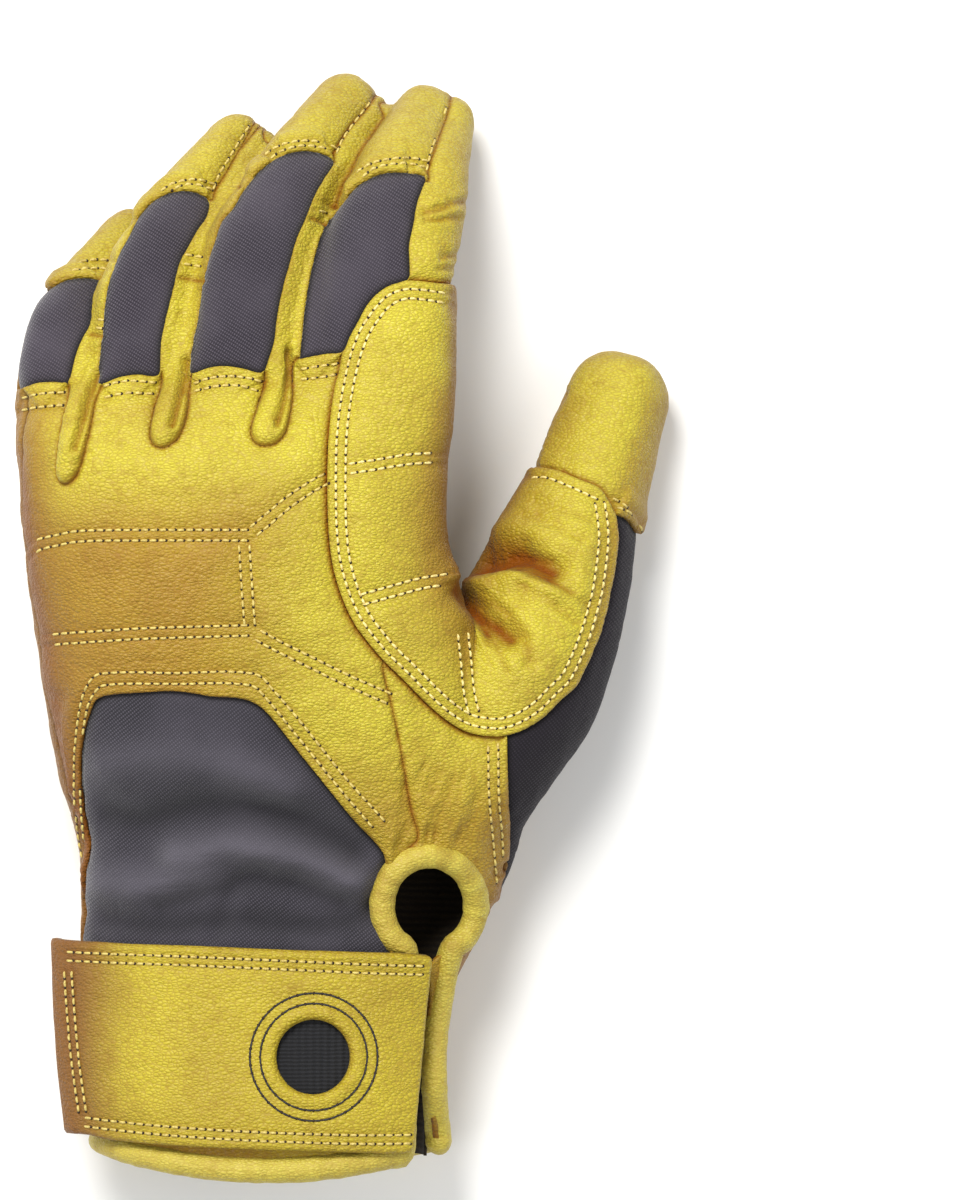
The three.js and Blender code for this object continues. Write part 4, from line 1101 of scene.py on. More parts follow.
BACK_ROWS = (
    Row(((-75.3, 52.3), (-69.2, 53.5), (-62.5, 54))), Row(((-75.3, 49.6), (-69.2, 50.5), (-62.7, 50.9))),
    Row(((-53.9, 55.1), (-50.6, 56.1), (-47.1, 56.5), (-41.3, 56.1))), Row(((-53.6, 52.6), (-50.6, 53.3), (-47.1, 53.7), (-41.8, 53.5))),
    Row(((-33, 55.8), (-29.2, 57), (-25, 57.5), (-20.9, 57.2), (-16.9, 56.3))), Row(((-33, 54), (-29.2, 54.9), (-25, 55.4), (-20.9, 55.1), (-17.8, 54))),
    Row(((-8.5, 59.1), (-4.1, 59.8), (0.8, 60.5))), Row(((-8.5, 56.8), (-4.1, 57.2), (0.3, 57.9))),
    Row(((-60.4, 84.7), (-55.7, 85.4), (-51.1, 84.7))), Row(((-61.8, 82.6), (-55.7, 83.3), (-51.6, 82.6))),
    Row(((-41.3, 100.7), (-38.5, 102.6), (-34.3, 103.7), (-31.1, 103.5), (-28.1, 102.6))), Row(((-39.9, 99.8), (-37.1, 101.9), (-34.1, 102.6), (-30.9, 102.1), (-28.8, 101.2))),
    Row(((-17.1, 109.1), (-14.1, 111.2), (-8.1, 112.6), (-2.3, 112.1), (0.1, 110.9))), Row(((-15.7, 108.2), (-13.2, 110), (-8.1, 111.4), (-2.7, 110.9), (-0.4, 110))),
    Row(((4.3, 104.7), (7, 106.5), (10.5, 107.7), (17, 108.4), (21.5, 107.7))), Row(((5.7, 103.5), (8, 105.4), (11.2, 106.5), (17, 107), (21, 106.1))),
    Row(((-28.3, 100.9), (-26.7, 105.1), (-24.8, 108.6), (-22.3, 113.3), (-20.2, 117)), (0.9,)),
    Row(((0.5, 109.3), (1.7, 112.6), (3.8, 116.1), (6.8, 120.5), (9.4, 124.4)), (0.9,)),
    Row(((21.5, 105.1), (22.6, 110), (24.3, 115.4), (25.9, 120.5), (26.4, 123.5)), (0.9,)),
    Row(((-55.7, 70), (-53.4, 69.6)), (-1.0, 1.0)), Row(((-35.5, 84.9), (-30.9, 84.2)), (-1.1, 1.1)),
    Row(((-4.8, 97.5), (-1.1, 96.5)), (-1.1, 1.1)),
    Row(((-71.6, 16.3), (-68.8, 18.6), (-64.1, 19.8), (-58.8, 20.7), (-43.6, 20.9), (-19.9, 20.9)), (-1.2, 1.2)),
    Row(((-19, 21.6), (-14.8, 25.1), (-10.6, 28.6), (-4.6, 32.6), (-1.8, 34)), (-1.2, 1.2)),
    Row(((-20.9, 18.9), (-20.4, 10.7), (-19.7, 0)), (-1.2, 1.2)),
    Row(((-67.6, -3.5), (-64.6, -3), (-55.3, -2.3), (-43.6, -1.6), (-19.9, -0.9)), (-1.2, 1.2)),
    Row(((-18.1, -1.8), (-13.4, -4.4), (-8.8, -6.7), (2.9, -12.5), (12.4, -16.7)), (-1.2, 1.2)),
    Row((
        (-59.9, -54.4), (-60.9, -47.4), (-61.1, -38.1), (-60.6, -27.7), (-59, -17.9), (-57.1, -13.2),
        (-54.3, -10.9), (-36.7, -10.7), (-18.5, -10.9), (-14.1, -14.9), (-8.8, -21.1), (-2.5, -29.1),
        (3.3, -36.3), (11.2, -45.1))),
    Row((
        (-59, -52.1), (-59.7, -40.4), (-59.2, -28.4), (-57.6, -19.3), (-55.7, -15.3), (-53.4, -13.5),
        (-36.7, -13.2), (-19.5, -13.5), (-16, -16.5), (-10.2, -23.7), (-4.1, -31.4), (1.7, -38.6),
        (8.4, -46.5))),
    Row(((35, -27.4), (35.2, -39.3), (36.1, -49.7), (37, -60.2))), Row(((37.3, -26.7), (37.5, -40.9), (38.2, -48.8), (38.4, -53.9))),
    Row(((63.6, 30), (66.1, 28.6), (68.9, 26.3), (71, 23.5))), Row(((64.7, 27.7), (67.3, 26.8), (69.6, 24.7), (71.2, 21.9))),
)
PATCH_ROWS = (
    Row(PATCH_EDGE, (1.9, 4.1), cream=True),
    Row(((2.9, 36.1), (9.8, 37.2), (16.8, 38.4), (24.3, 38.9)), (-1.1, 1.1), cream=True),
    Row(((5.7, 6.1), (12.2, 7.9), (19.1, 9.8), (25.9, 10.9)), (-1.2, 1.2), cream=True),
    Row(((29.1, -1.4), (29.8, -7.9), (30.5, -14.9), (31.7, -20)), (-1.2, 1.2), cream=True),
    Row(((40.5, 34.9), (44, 35.6), (48.2, 35.8), (51.7, 34.7), (56.4, 32.6), (61, 30.5)), (-1.2,), cream=True),
)
PALM_ROWS = (
    Row(((-77.9, 73.7), (-69.9, 75.2), (-59.9, 77.6)), (0.0, -2.4), top=False),
    Row(((-46.3, 82), (-37.8, 82.9), (-28.3, 85.8)), (0.0, -2.4), top=False),
    Row(((-18.3, 84.9), (-9.6, 85.8), (-0.6, 88.2)), (0.0, -2.4), top=False),
    Row(((7.4, 82.3), (22.5, 84.6), (36.9, 90)), (0.0, -2.4), top=False),
    Row(((-72.5, 40.1), (-59.4, 43.9), (-35, 47.4), (-8.3, 50.1), (18.7, 48.9), (37.9, 48.9)), (-1.1, 1.1), cream=True, top=False),
    Row(((-71.2, 9.9), (-54.5, 13.8), (-37, 18.2), (-10.1, 22.6), (4.6, 24.1), (22, 24.4), (38.7, 22.9)), (-1.1, 1.1), cream=True, top=False),
    Row(((-36.5, 38.9), (-26.3, 39.2), (-20.6, 36.8), (-26.3, 33.6), (-32.9, 29.7), (-36.5, 28.8)), (-1.1, 1.1), cream=True, top=False),
    Row((
        (-73.6, 19.4), (-51.7, 11.1), (-36.1, -10.3), (-15.3, -8.8), (-2.9, 1.4), (1.8, 14.8),
        (21.1, 21.8)), (0.0, 2.2),
        cream=True, top=False),
    Row((
        (-39.8, -22.8), (-40.8, -35.8), (-37.2, -51.6), (-26.8, -63.3), (-12.2, -73), (3.4, -71.2),
        (17.9, -65.6), (32.5, -67.4)),
        (-1.6, -3.8), top=False),
    Row(((-51.7, -119.9), (-36.1, -122.9), (-15.3, -123.8), (5.5, -122.9), (19, -120.3)), (0.6,), top=False),
)
STRAP_ROWS = (
    Row((
        (-63.2, -76.7), (-51.8, -77), (-39, -77.2), (-25, -77.7), (-8.8, -78.4), (5.2, -79.1),
        (20.1, -79.7)), (-1.0, 1.0)),
    Row((
        (-59, -115.1), (-50.6, -115.8), (-43.6, -116.3), (-25, -117.4), (-8.8, -118.1), (5.2, -118.6),
        (17.3, -118.8)), (-1.0, 1.0)),
    Row(((-62.7, -80), (-62, -89.3), (-60.9, -100.9), (-59.2, -113)), (-0.9, 0.9)),
)
FOLDS = (
    Fold(((-59.5, 40.5), (-58.1, 46.1), (-56.7, 52.6), (-55.3, 58.2)), 1.7, 0.8, 0.6),
    Fold(((-37.4, 45.6), (-36, 50.7), (-35, 56.3), (-34.8, 61.4)), 1.7, 0.8, 0.6),
    Fold(((-13.4, 45.6), (-12, 50.7), (-11.3, 57.2), (-11.1, 63.7)), 1.7, 0.8, 0.6),
    Fold(((-57.1, 67.5), (-53.6, 66.8)), 0.7, 0.7, 0.7), Fold(((-36, 80.5), (-30.6, 79.6)), 0.7, 0.7, 0.7),
    Fold(((-5.7, 94.2), (-2, 93)), 0.7, 0.7, 0.7),
    Fold(((31.7, 11.2), (34.5, 12.8), (38.9, 14.2), (42.9, 14.7), (47, 13.5), (49.8, 12.1)), 3.2, 3.2, 1.0),
    Fold(((33.6, 15.4), (37.7, 17.5), (42.9, 17.9)), 1.4, 3.0, 0.55),
    Fold(((26.8, 7.9), (30.3, 4.7), (34, 1.4), (37.7, -1.4), (40.1, -3.2)), 3.0, 2.5, 0.95),
    Fold(((27.5, 9.6), (32.6, 9.8), (37.7, 10.5), (43.6, 10.5), (49.4, 8.9)), -1.9, 2.6, 0.0),
    Fold(((32.6, 5.8), (37.7, 3.7), (42.9, -1.4), (44.7, -7.9)), 1.0, 1.8, 0.35),
    Fold(((30.8, 3.3), (33.6, -0.4), (35.9, -5.1)), 0.5, 0.9, 0.35), Fold(((34.5, -1.4), (37.7, -5.6), (39.6, -10.7)), 0.45, 0.9, 0.3),
    Fold(((39.6, 16.3), (44.7, 16.3), (49.8, 14.9)), 0.45, 0.9, 0.35), Fold(((42.4, 12.6), (48.2, 10.7), (53.6, 7.5)), 0.5, 0.9, 0.35),
    Fold(((43.6, 7.9), (48.9, 5.6), (54.5, 0.9)), 0.6, 1.4, 0.22), Fold(((45.9, 10.3), (51.7, 8.4), (57.5, 4.7)), 0.6, 1.4, 0.2),
    Fold(((47, 28.2), (52.9, 26.5), (58.7, 24.2)), 0.45, 1.2, 0.12), Fold(((44.7, 24.7), (50.5, 22.8), (56.4, 20)), 0.45, 1.3, 0.12),
    Fold(((45.2, 37.7), (47, 43.3), (49.8, 49.1), (53.3, 54.4)), 0.8, 0.8, 0.5),
    Fold(((20.1, 95.4), (23.3, 95.8), (26.1, 97.5), (28.9, 98.4)), 0.7, 0.9, 0.5), Fold(((20.5, 93.5), (23.8, 93.5), (27, 94.4)), 0.6, 0.8, 0.4),
    Fold(((23.8, 84.7), (26.1, 85.4), (28, 86.5)), 0.7, 0.9, 0.45), Fold(((23.3, 82.3), (25.4, 82.8), (27.3, 83.3)), 0.5, 0.8, 0.35),
    Fold(((-53, -43.9), (-43.6, -44.6), (-32, -42.3), (-17.6, -43.2), (-4.1, -47.9), (4, -52.1)), 2.1, 4.4, 0.55),
    Fold(((-53, -59.1), (-43.6, -59.5), (-32, -57.7)), -2.0, 4.6, 0.0), Fold(((-36.7, -52.1), (-22.7, -50.2), (-8.8, -52.1), (2.9, -57.2)), -2.6, 4.0, 0.0),
    Fold(((-41.3, -64.9), (-29.7, -61.4), (-13.4, -59.5), (0.5, -63.7)), 1.3, 2.8, 0.4),
    Fold(((-54.1, -67.9), (-43.6, -69.3), (-25, -67.9), (-4.1, -69.3), (7.5, -66.5)), 1.6, 3.4, 0.45),
    Fold(((-53, -31.1), (-41.3, -29.3), (-27.4, -30.2), (-11.1, -36.7)), -1.5, 4.4, 0.0),
    Fold(((-28.5, -71.8), (-23.9, -61.4), (-17.6, -56.3)), 0.8, 2.0, 0.05), Fold(((8, -64.9), (8.9, -59.1), (11.2, -56.3)), 1.0, 1.6, 0.2),
    Fold(((15, -50.2), (16.4, -43.9), (15.4, -38.1)), 0.5, 1.8, 0.1), Fold(((22.9, -47.9), (24.3, -42.3), (26.6, -35.8)), 0.55, 2.0, 0.12),
    Fold(((28.9, -49.3), (31.7, -43.9), (33.1, -38.1)), 0.5, 1.8, 0.12), Fold(((19.1, -17.2), (21, -26.5), (21.5, -35.8)), 0.4, 3.0, 0.05),
    Fold(((-69.2, 47.9), (-66.4, 36.3), (-66, 24.7)), 0.6, 5.0, 0.06), Fold(((-50.6, 45.6), (-48.8, 36.3), (-49.5, 27)), 0.5, 6.0, 0.04),
    Fold(((-28.5, 46.8), (-26.2, 37.5), (-27.4, 28.2)), 0.5, 7.0, 0.04), Fold(((-64.6, -17.2), (-65.5, -27.7), (-63.2, -40.4), (-61.3, -49.7)), 0.8, 3.0, 0.2),
    Fold(((-69.4, 41.4), (-46.5, 44.2), (-23.7, 45.1), (-4.9, 42.3), (15.9, 38.6)), 1.0, 1.8, 0.45, top=False),
    Fold(((-69.4, 33.9), (-51.7, 35.8), (-36.1, 34.9)), 0.7, 1.6, 0.35, top=False),
    Fold(((0.3, 30.2), (10.7, 29.3), (22.1, 31.1)), 0.9, 1.8, 0.4, top=False),
    Fold(((-36.1, 3.2), (-20.5, 7.9), (-7, 9.8), (5.5, 8.8)), 0.9, 2.4, 0.3, top=False),
    Fold(((-67.3, -6.1), (-56.9, -15.4), (-46.5, -24.7)), 0.8, 2.6, 0.2, top=False),
)
CRUMPLES = (
    Crumple((23.3, 95.8), (5.5, 4.0), 20, 1.1, 0.45), Crumple((25.4, 84.2), (4.0, 4.0), 20, 1.1, 0.4),
    Crumple((48.2, 6.1), (12.0, 8.0), -25, 1.5, 0.5), Crumple((37.7, 0.9), (7.0, 7.0), -40, 1.4, 0.45),
    Crumple((37.7, 15.4), (8.0, 5.0), 10, 1.3, 0.5), Crumple((21.9, -43.2), (12.0, 9.0), 80, 1.8, 0.5),
    Crumple((13.3, -31.1), (8.0, 9.0), 60, 2.2, 0.3), Crumple((31.9, -40.4), (8.0, 12.0), 75, 2.0, 0.35),
    Crumple((-60.4, 43.3), (4.5, 9.0), 5, 1.2, 0.35), Crumple((-37.8, 51.4), (4.5, 8.0), 5, 1.2, 0.35),
    Crumple((-14.1, 52.6), (4.5, 9.0), 5, 1.2, 0.35), Crumple((-56.2, 61.9), (4.0, 6.0), 0, 1.2, 0.3),
    Crumple((-35.5, 71.2), (4.0, 8.0), 0, 1.2, 0.3), Crumple((-11.1, 67.7), (3.5, 6.0), 0, 1.2, 0.22),
    Crumple((50.5, 20), (10.0, 8.0), -25, 1.7, 0.3), Crumple((-64.6, -40.4), (6.0, 12.0), 70, 2.2, 0.35),
)


# The skin cut into panels
PANELS = (
    *(Panel(f"{n}_stretch_back", Dress.TWILL, Layer.UNDER, 0.0, 0.9) for n in FINGERS),
    *(Panel(f"{n}_tip_cap", Dress.GOLD, lap=1.45, puff=0.7, lit=0.6) for n in FINGERS),
    *(Panel(f"{n}_front", Dress.FRONT, puff=0.9) for n in FINGERS),
    Panel("thumb_tip_cap", Dress.GOLD, lap=1.4, puff=0.6, lit=0.5),
    Panel("thumb_web_patch", Dress.GOLD, Layer.OVER, 1.3, 0.6),
    Panel("thumb_stretch_side", Dress.TWILL_SIDE, Layer.UNDER, 0.0, 0.4),
    Panel("wrist_stretch_back", Dress.TWILL_DARK, Layer.UNDER, 0.0, 0.4),
    Panel("fourchette_little_ring", Dress.GOLD, lap=0.3, puff=0.9, lit=0.8),
    Panel("fourchette_ring_middle", Dress.GOLD, lap=0.3, puff=0.9, lit=0.8),
    Panel("fourchette_middle_index", Dress.GOLD, lap=0.3, puff=0.9, lit=0.8),
    Panel("little_outer_side", Dress.GOLD, lap=0.3, lit=0.5),
    Panel("index_outer_side", Dress.GOLD, lap=0.3, lit=0.7),
    Panel("hand_back", Dress.GOLD, lap=1.0, puff=0.7), Panel("thumb_shell", Dress.GOLD, lap=0.6),
    Panel("palm_patch", Dress.PALM, Layer.OVER, 1.2, 0.5), Panel("palm", Dress.PALM, lap=0.5),
)


@dataclass
class PanelledSkin:
    """The hand skin, cut into panels that are raised, rounded and creased."""

    form: HandForm = field(default_factory=HandForm)
    wall: float = 1.3
    seam_depth: float = 0.6
    seam_width: float = 0.85
    row_depth: float = 0.26
    skin: Skin = field(init=False)
    normal: Array = field(init=False)
    raised: Array = field(init=False)
    plain: Array = field(init=False)

    def build(self) -> None:
        """Draws the skin, cuts its panels and works out where its outside stands."""
        self.skin = self.form.build_skin()
        self.cut_panels()
        self.refine()
        self.normal = self.skin.normals()
        low, high, _ = self.skin.edges()
        self.normal = spread(self.normal, low, high, 2)
        self.normal /= np.linalg.norm(self.normal, axis=1)[:, None]
        self.shade()

    def plan_field(self, outline: Path) -> Array:
        """Signed distance of the skin's points to an outline seen from above."""
        return outline_field(self.skin.points[:, :2], smooth_path(outline, True, 1.2))

    def finger_fields(self, name: str) -> tuple[Array, Array, Array]:
        """Fields of a finger's stretch back, tip cap and front."""
        v, digit = self.skin.values, DIGITS[name]
        own, height = v[f"{name}.own"], v[f"{name}.height"]
        half_depth, half_width = digit.depth / 2, digit.width / 2
        over = (-0.1 - height) * half_depth
        back = np.maximum.reduce([self.plan_field(DARK_OUTLINES[name]), own, over])
        tip = (0.84 - v[f"{name}.share"]) * digit.length
        under = np.maximum(tip, height * half_depth - 1.0)
        cap = np.maximum(np.minimum(np.maximum(self.plan_field(CAP_OUTLINES[name]), over), under), own)
        first, last = FRONT_SHARES[name]
        across = np.abs(v[f"{name}.side"]) * half_width
        along = v[f"{name}.share"] * digit.length
        half, top = 0.78 * half_width, last * digit.length
        corner = 0.98 * half
        dx = np.maximum(across - (half - corner), 0.0)
        dy = np.maximum(along - (top - corner), 0.0)
        rounded = np.where(along > top - corner, np.hypot(dx, 0.85 * dy) - corner, across - half)
        front = np.maximum.reduce([rounded, first * digit.length - along, own,
                                   (height + 0.2) * half_depth])
        return back, cap, front

    def fourchette_field(self, one: str, other: str) -> Array:
        """Field of the side walls between two fingers, with their folded ends on back and palm."""
        v = self.skin.values
        rise = v["rise"]
        regions = []
        for tongue, side in ((TONGUES[one, other], 1.0), (PALM_TONGUES[one, other], -1.0)):
            between = self.between(tongue, one, other)
            regions.append(np.maximum(self.plan_field(between), -side * rise - 2.0))
        walls = []
        for name, side in ((one, 1.0), (other, -1.0)):
            digit = DIGITS[name]
            edge = 0.78 * smoothstep(0.95, 0.85, v[f"{name}.share"])
            inner = (edge - side * v[f"{name}.side"]) * digit.width / 2
            start = 0.08 + 0.26 * smoothstep(-3.0, 1.0, rise)
            low = (start - v[f"{name}.share"]) * digit.length
            walls.append(np.maximum.reduce([inner, v[f"{name}.own"], low]))
        tongue = smooth_path(PALM_TONGUES[one, other], True, 1.2)
        end = np.maximum(outline_field(self.skin.points[:, :2], tongue), rise)
        return np.minimum.reduce([regions[0], np.minimum(*walls), end])

    def outer_side_field(self, name: str, side: float, start: float) -> Array:
        """Field of a finger's outer side wall, kept off the palm below the finger's front."""
        v, digit = self.skin.values, DIGITS[name]
        share, first = v[f"{name}.share"], FRONT_SHARES[name][0]
        under = (-0.5 - v[f"{name}.height"]) * digit.depth / 2
        under -= FAR * smoothstep(first - 0.03, first + 0.03, share)
        return np.maximum.reduce([v[f"{name}.own"], -side * v[f"{name}.side"] * digit.width / 2,
                                  (start - share) * digit.length, under])

    def patch_floor(self) -> Array:
        """Field of what lies low enough to be under the thumb patch, which dips into the web."""
        web = bump_at(np.linalg.norm(self.skin.points[:, :2] - WEB_MIDDLE, axis=1), 13.0)
        return np.maximum(17.6 - 12.0 * web - self.skin.points[:, 2], -7.0 - 16.0 * web - self.skin.values["rise"])

    @staticmethod
    def between(tongue: Path, one: str, other: str) -> Path:
        """A tongue's outline carried on between the lines of two fingers, past their tips."""
        left = [tuple(p[:2]) for p in DIGITS[one].line[45:120:12]]
        right = [tuple(p[:2]) for p in DIGITS[other].line[45:120:12]]
        out = (right[-1][0] + 5, right[-1][1] + 15), (left[-1][0] - 2, left[-1][1] + 15)
        return [*tongue, *right, *out, *left[::-1]]

    def cut_panels(self) -> None:
        """Opens the cuff and the keyhole, then cuts every panel in turn."""
        v, numbers = self.skin.values, {panel.node: k + 1 for k, panel in enumerate(PANELS)}
        points = self.skin.points
        thumb = DIGITS["thumb"]
        line = self.form.section(self.form.along(points[:, 1]))["lift"]
        v["rise"] = points[:, 2] - line
        for name in DIGITS:
            digit = DIGITS[name]
            at = np.interp(v[f"{name}.share"], digit.shares, digit.line[:, 2])
            mine = (v[f"{name}.own"] < 0) & (v[f"{name}.share"] > 0.12)
            v["rise"] = np.where(mine, points[:, 2] - at, v["rise"])

        def cut(label: int, value) -> None:
            self.skin.cut(value(), label)

        cut(-1, lambda: self.skin.points[:, 1] - self.form.hem_line(self.skin.points[:, 0]))
        cut(-1, lambda: np.maximum(self.plan_field(Cuff().keyhole_outline()), 21.0 - self.skin.points[:, 2]))
        for name in FINGERS:
            for kind, row in (("stretch_back", 0), ("front", 2), ("tip_cap", 1)):
                cut(numbers[f"{name}_{kind}"], lambda: self.finger_fields(name)[row])
        z = lambda: self.skin.points[:, 2]  # noqa: E731
        v = self.skin.values
        cut(numbers["thumb_tip_cap"], lambda: np.maximum(
            self.plan_field(THUMB_CAP_OUTLINE), v["thumb.own"]))
        cut(numbers["thumb_web_patch"], lambda: np.maximum(
            self.plan_field([*PATCH_EDGE, *PATCH_OUTER]), self.patch_floor()))
        cut(numbers["thumb_stretch_side"], lambda: np.maximum(
            self.plan_field(THUMB_STRETCH_OUTLINE), 9.0 - z()))
        cut(numbers["wrist_stretch_back"], lambda: np.maximum(self.plan_field(WRIST_OUTLINE), 21.0 - z()))
        for one, other in zip(FINGERS, FINGERS[1:]):
            cut(numbers[f"fourchette_{one}_{other}"], lambda: self.fourchette_field(one, other))
        for name, side, start in (("little", -1.0, 0.34), ("index", 1.0, 0.2)):
            cut(numbers[f"{name}_outer_side"], lambda: self.outer_side_field(name, side, start))
        cut(numbers["hand_back"], lambda: np.maximum(
            self.plan_field(BACK_OUTLINE), (0.18 - v["hand.height"]) * 20.0))
        cut(numbers["thumb_shell"], lambda: np.minimum(
            np.maximum(self.plan_field(THENAR_OUTLINE), z() - 21.0),
            np.maximum(self.plan_field(THUMB_BACK_OUTLINE), 20.0 - z())))
        cut(numbers["palm_patch"], lambda: np.maximum(
            self.plan_field(PALM_PATCH_OUTLINE), (v["hand.height"] + 0.6) * 20.0))
        self.skin.labels[self.skin.labels == 0] = numbers["palm"]
        log.info("skin cut: %d faces, thumb %.0f mm", len(self.skin.faces), thumb.length)

    def refine(self) -> None:
        """Draws the skin finer along seams, stitch rows and creases."""
        points, labels = self.skin.points, self.skin.labels
        low, high, of_face = self.skin.edges()
        first = np.full(len(low), 99)
        last = np.full(len(low), -99)
        np.minimum.at(first, of_face.reshape(-1), np.repeat(labels, 3))
        np.maximum.at(last, of_face.reshape(-1), np.repeat(labels, 3))
        seam = first != last
        zone = np.zeros(len(points), bool)
        zone[low[seam]] = zone[high[seam]] = True
        reach = zone.astype(float)
        reach = spread(reach, low, high, 2) > 0.01
        top = self.skin.normals()[:, 2] > -0.2
        for row in (*BACK_ROWS, *PATCH_ROWS, *PALM_ROWS):
            for line in Stitching.lines(row):
                reach |= (path_distance(points[:, :2], line, 1.5) < 1.5) & (top == row.top)
        for fold in FOLDS:
            line = smooth_path(fold.path)
            wide = min(2 * fold.width, 3.0)
            reach |= (path_distance(points[:, :2], line, wide) < wide) & (top == fold.top)
        self.skin.refine(reach, 0.62)
        log.info("skin refined: %d faces", len(self.skin.faces))

    def shade(self) -> None:
        """Raises each point over the plain skin, and works out painted shade in creases and on side-facing faces, a
        painted top light on up-facing faces and a painted highlight along fold ridges.
        """
        points, n = self.skin.points, len(self.skin.points)
        plan = points[:, :2]
        up = self.normal[:, 2]
        face_up, face_down = smoothstep(-0.1, 0.25, up), smoothstep(0.1, -0.25, up)
        relief, tint, ridge_highlights = np.zeros(n), np.zeros(n), np.zeros(n)
        for row in (*BACK_ROWS, *PATCH_ROWS, *PALM_ROWS):
            side = face_up if row.top else face_down
            gap = np.full(n, FAR)
            for line in Stitching.lines(row):
                gap = np.minimum(gap, path_distance(plan, line, 6.0))
            relief -= side * (self.row_depth * bump_at(gap, 0.55) + 0.42 * bump_at(gap, 2.4))
            # Painted shade in the stitch channel.
            tint += side * 0.16 * bump_at(gap, 0.6)
        for tongues, side, rise in ((TONGUES, face_up, 1.9), (PALM_TONGUES, face_down, 1.9)):
            for (one, other), tongue in tongues.items():
                inside = -self.plan_field(self.between(tongue, one, other))
                end = max(y for _, y in tongue)
                round_edge = np.sqrt(1 - (1 - np.clip(inside / 2.3, 0, 1)) ** 2)
                relief += rise * round_edge * side * smoothstep(end + 3.0, end - 5.0, plan[:, 1])
        for fold in FOLDS:
            side = face_up if fold.top else face_down
            gap = path_distance(plan, smooth_path(fold.path), 4 * fold.width)
            relief -= side * fold.depth * bump_at(gap, fold.width)
            relief += side * 0.3 * fold.depth * bump_at(gap - 2 * fold.width, fold.width)
            # Painted shade in the crease, and a painted highlight along each ridge.
            tint += side * fold.tint * bump_at(gap, 0.75 * fold.width)
            ridge_highlights += side * max(-fold.depth, 0.0) * 0.14 * bump_at(gap, fold.width)
        for crumple in CRUMPLES:
            turn = math.radians(crumple.turn_deg)
            rel = plan - crumple.middle
            u = rel[:, 0] * math.cos(turn) + rel[:, 1] * math.sin(turn)
            w = -rel[:, 0] * math.sin(turn) + rel[:, 1] * math.cos(turn)
            window = np.exp(-((u / crumple.reach[0]) ** 2 + (w / crumple.reach[1]) ** 2)) * face_up
            near = window > 0.03
            place = np.column_stack([u, w * 3.0, points[:, 2]])[near]
            ridge = 1 - 2 * np.abs(value_noise(place, crumple.wave * 3.0, 7))
            relief[near] += window[near] * crumple.height * ridge
            # Painted shade in the wrinkles' troughs.
            tint[near] += window[near] * 0.35 * np.clip(-ridge, 0, 1)
        drift = value_noise(points, 22.0, 1) * 0.55 + value_noise(points, 9.0, 2) * 0.28
        drift += value_noise(points, 3.6, 3) * 0.1
        lines = 1 - 2 * np.abs(value_noise(points * (1.0, 2.6, 1.0), 7.0, 4))
        drift -= 0.16 * np.clip(lines, 0, 1) ** 3
        self.skin.values.update(relief=relief + drift, tint=tint)
        x, y = points[:, 0], points[:, 1]
        # Painted shade on side-facing faces and along the hand's left side.
        outer = smoothstep(-0.72, -1.0, self.skin.values["hand.side"]) * smoothstep(50.0, 20.0, y)
        flank = 0.8 * smoothstep(0.86, 0.15, up) * smoothstep(-0.7, -0.1, up)
        self.skin.values["flank"] = np.clip(flank + 0.75 * outer * face_up, 0, 1)
        # Lemon tone by zone, made lighter on up-facing faces as a painted top light.
        east = smoothstep(-36.0, 0.0, x) * (0.5 + 0.5 * smoothstep(-44.0, -16.0, y))
        lemon_zone_and_light = np.maximum(smoothstep(12.0, 42.0, y), east)
        painted_top_light = 0.4 + 0.6 * smoothstep(0.7, 0.97, up)
        painted_top_light = np.maximum(painted_top_light, 0.9 * smoothstep(45.0, 60.0, y))
        lemon_zone_and_light *= painted_top_light * (0.45 + 0.55 * smoothstep(-0.3, 0.3, up))
        self.skin.values["bright"] = np.clip(lemon_zone_and_light + 0.22 * value_noise(points, 24.0, 5), 0, 1)
        self.skin.values["ridge"] = np.clip(ridge_highlights, 0, 1)

    def panel_edges(self, faces: Array) -> tuple[Array, Array]:
        """Border edges of a set of faces, and for each point of it its border neighbours."""
        pairs = np.stack([faces, np.roll(faces, -1, axis=1)], axis=2).reshape(-1, 2)
        count = len(self.skin.points)
        keys = np.sort(pairs, axis=1)
        keys = keys[:, 0].astype(np.int64) * count + keys[:, 1]
        _, index, repeats = np.unique(keys, return_index=True, return_counts=True)
        border = pairs[index[repeats == 1]]
        return border, keys

    def build_panel(self, number: int, panel: Panel, layers: dict[int, Layer]) -> None:
        """Makes one panel a closed wall and shows it."""
        skin = self.skin
        faces = skin.faces[skin.labels == number]
        if len(faces) == 0:
            log.warning("%s has no faces", panel.node)
            return
        border, _ = self.panel_edges(faces)
        used = np.unique(faces)
        index = np.full(len(skin.points), -1)
        index[used] = np.arange(len(used))
        points = skin.points[used]
        gap, neighbour = self.edge_gap(used, border, number)
        height = np.zeros(len(used))
        tint = np.zeros(len(used))
        mine = panel.layer.value
        theirs = np.array([layers.get(int(k), panel.layer).value for k in neighbour])
        open_edge = neighbour < 0
        turned = (theirs == mine) & ~open_edge
        over, under = theirs < mine, theirs > mine
        edge = 1 - (1 - np.clip(gap / 0.9, 0, 1)) ** 2
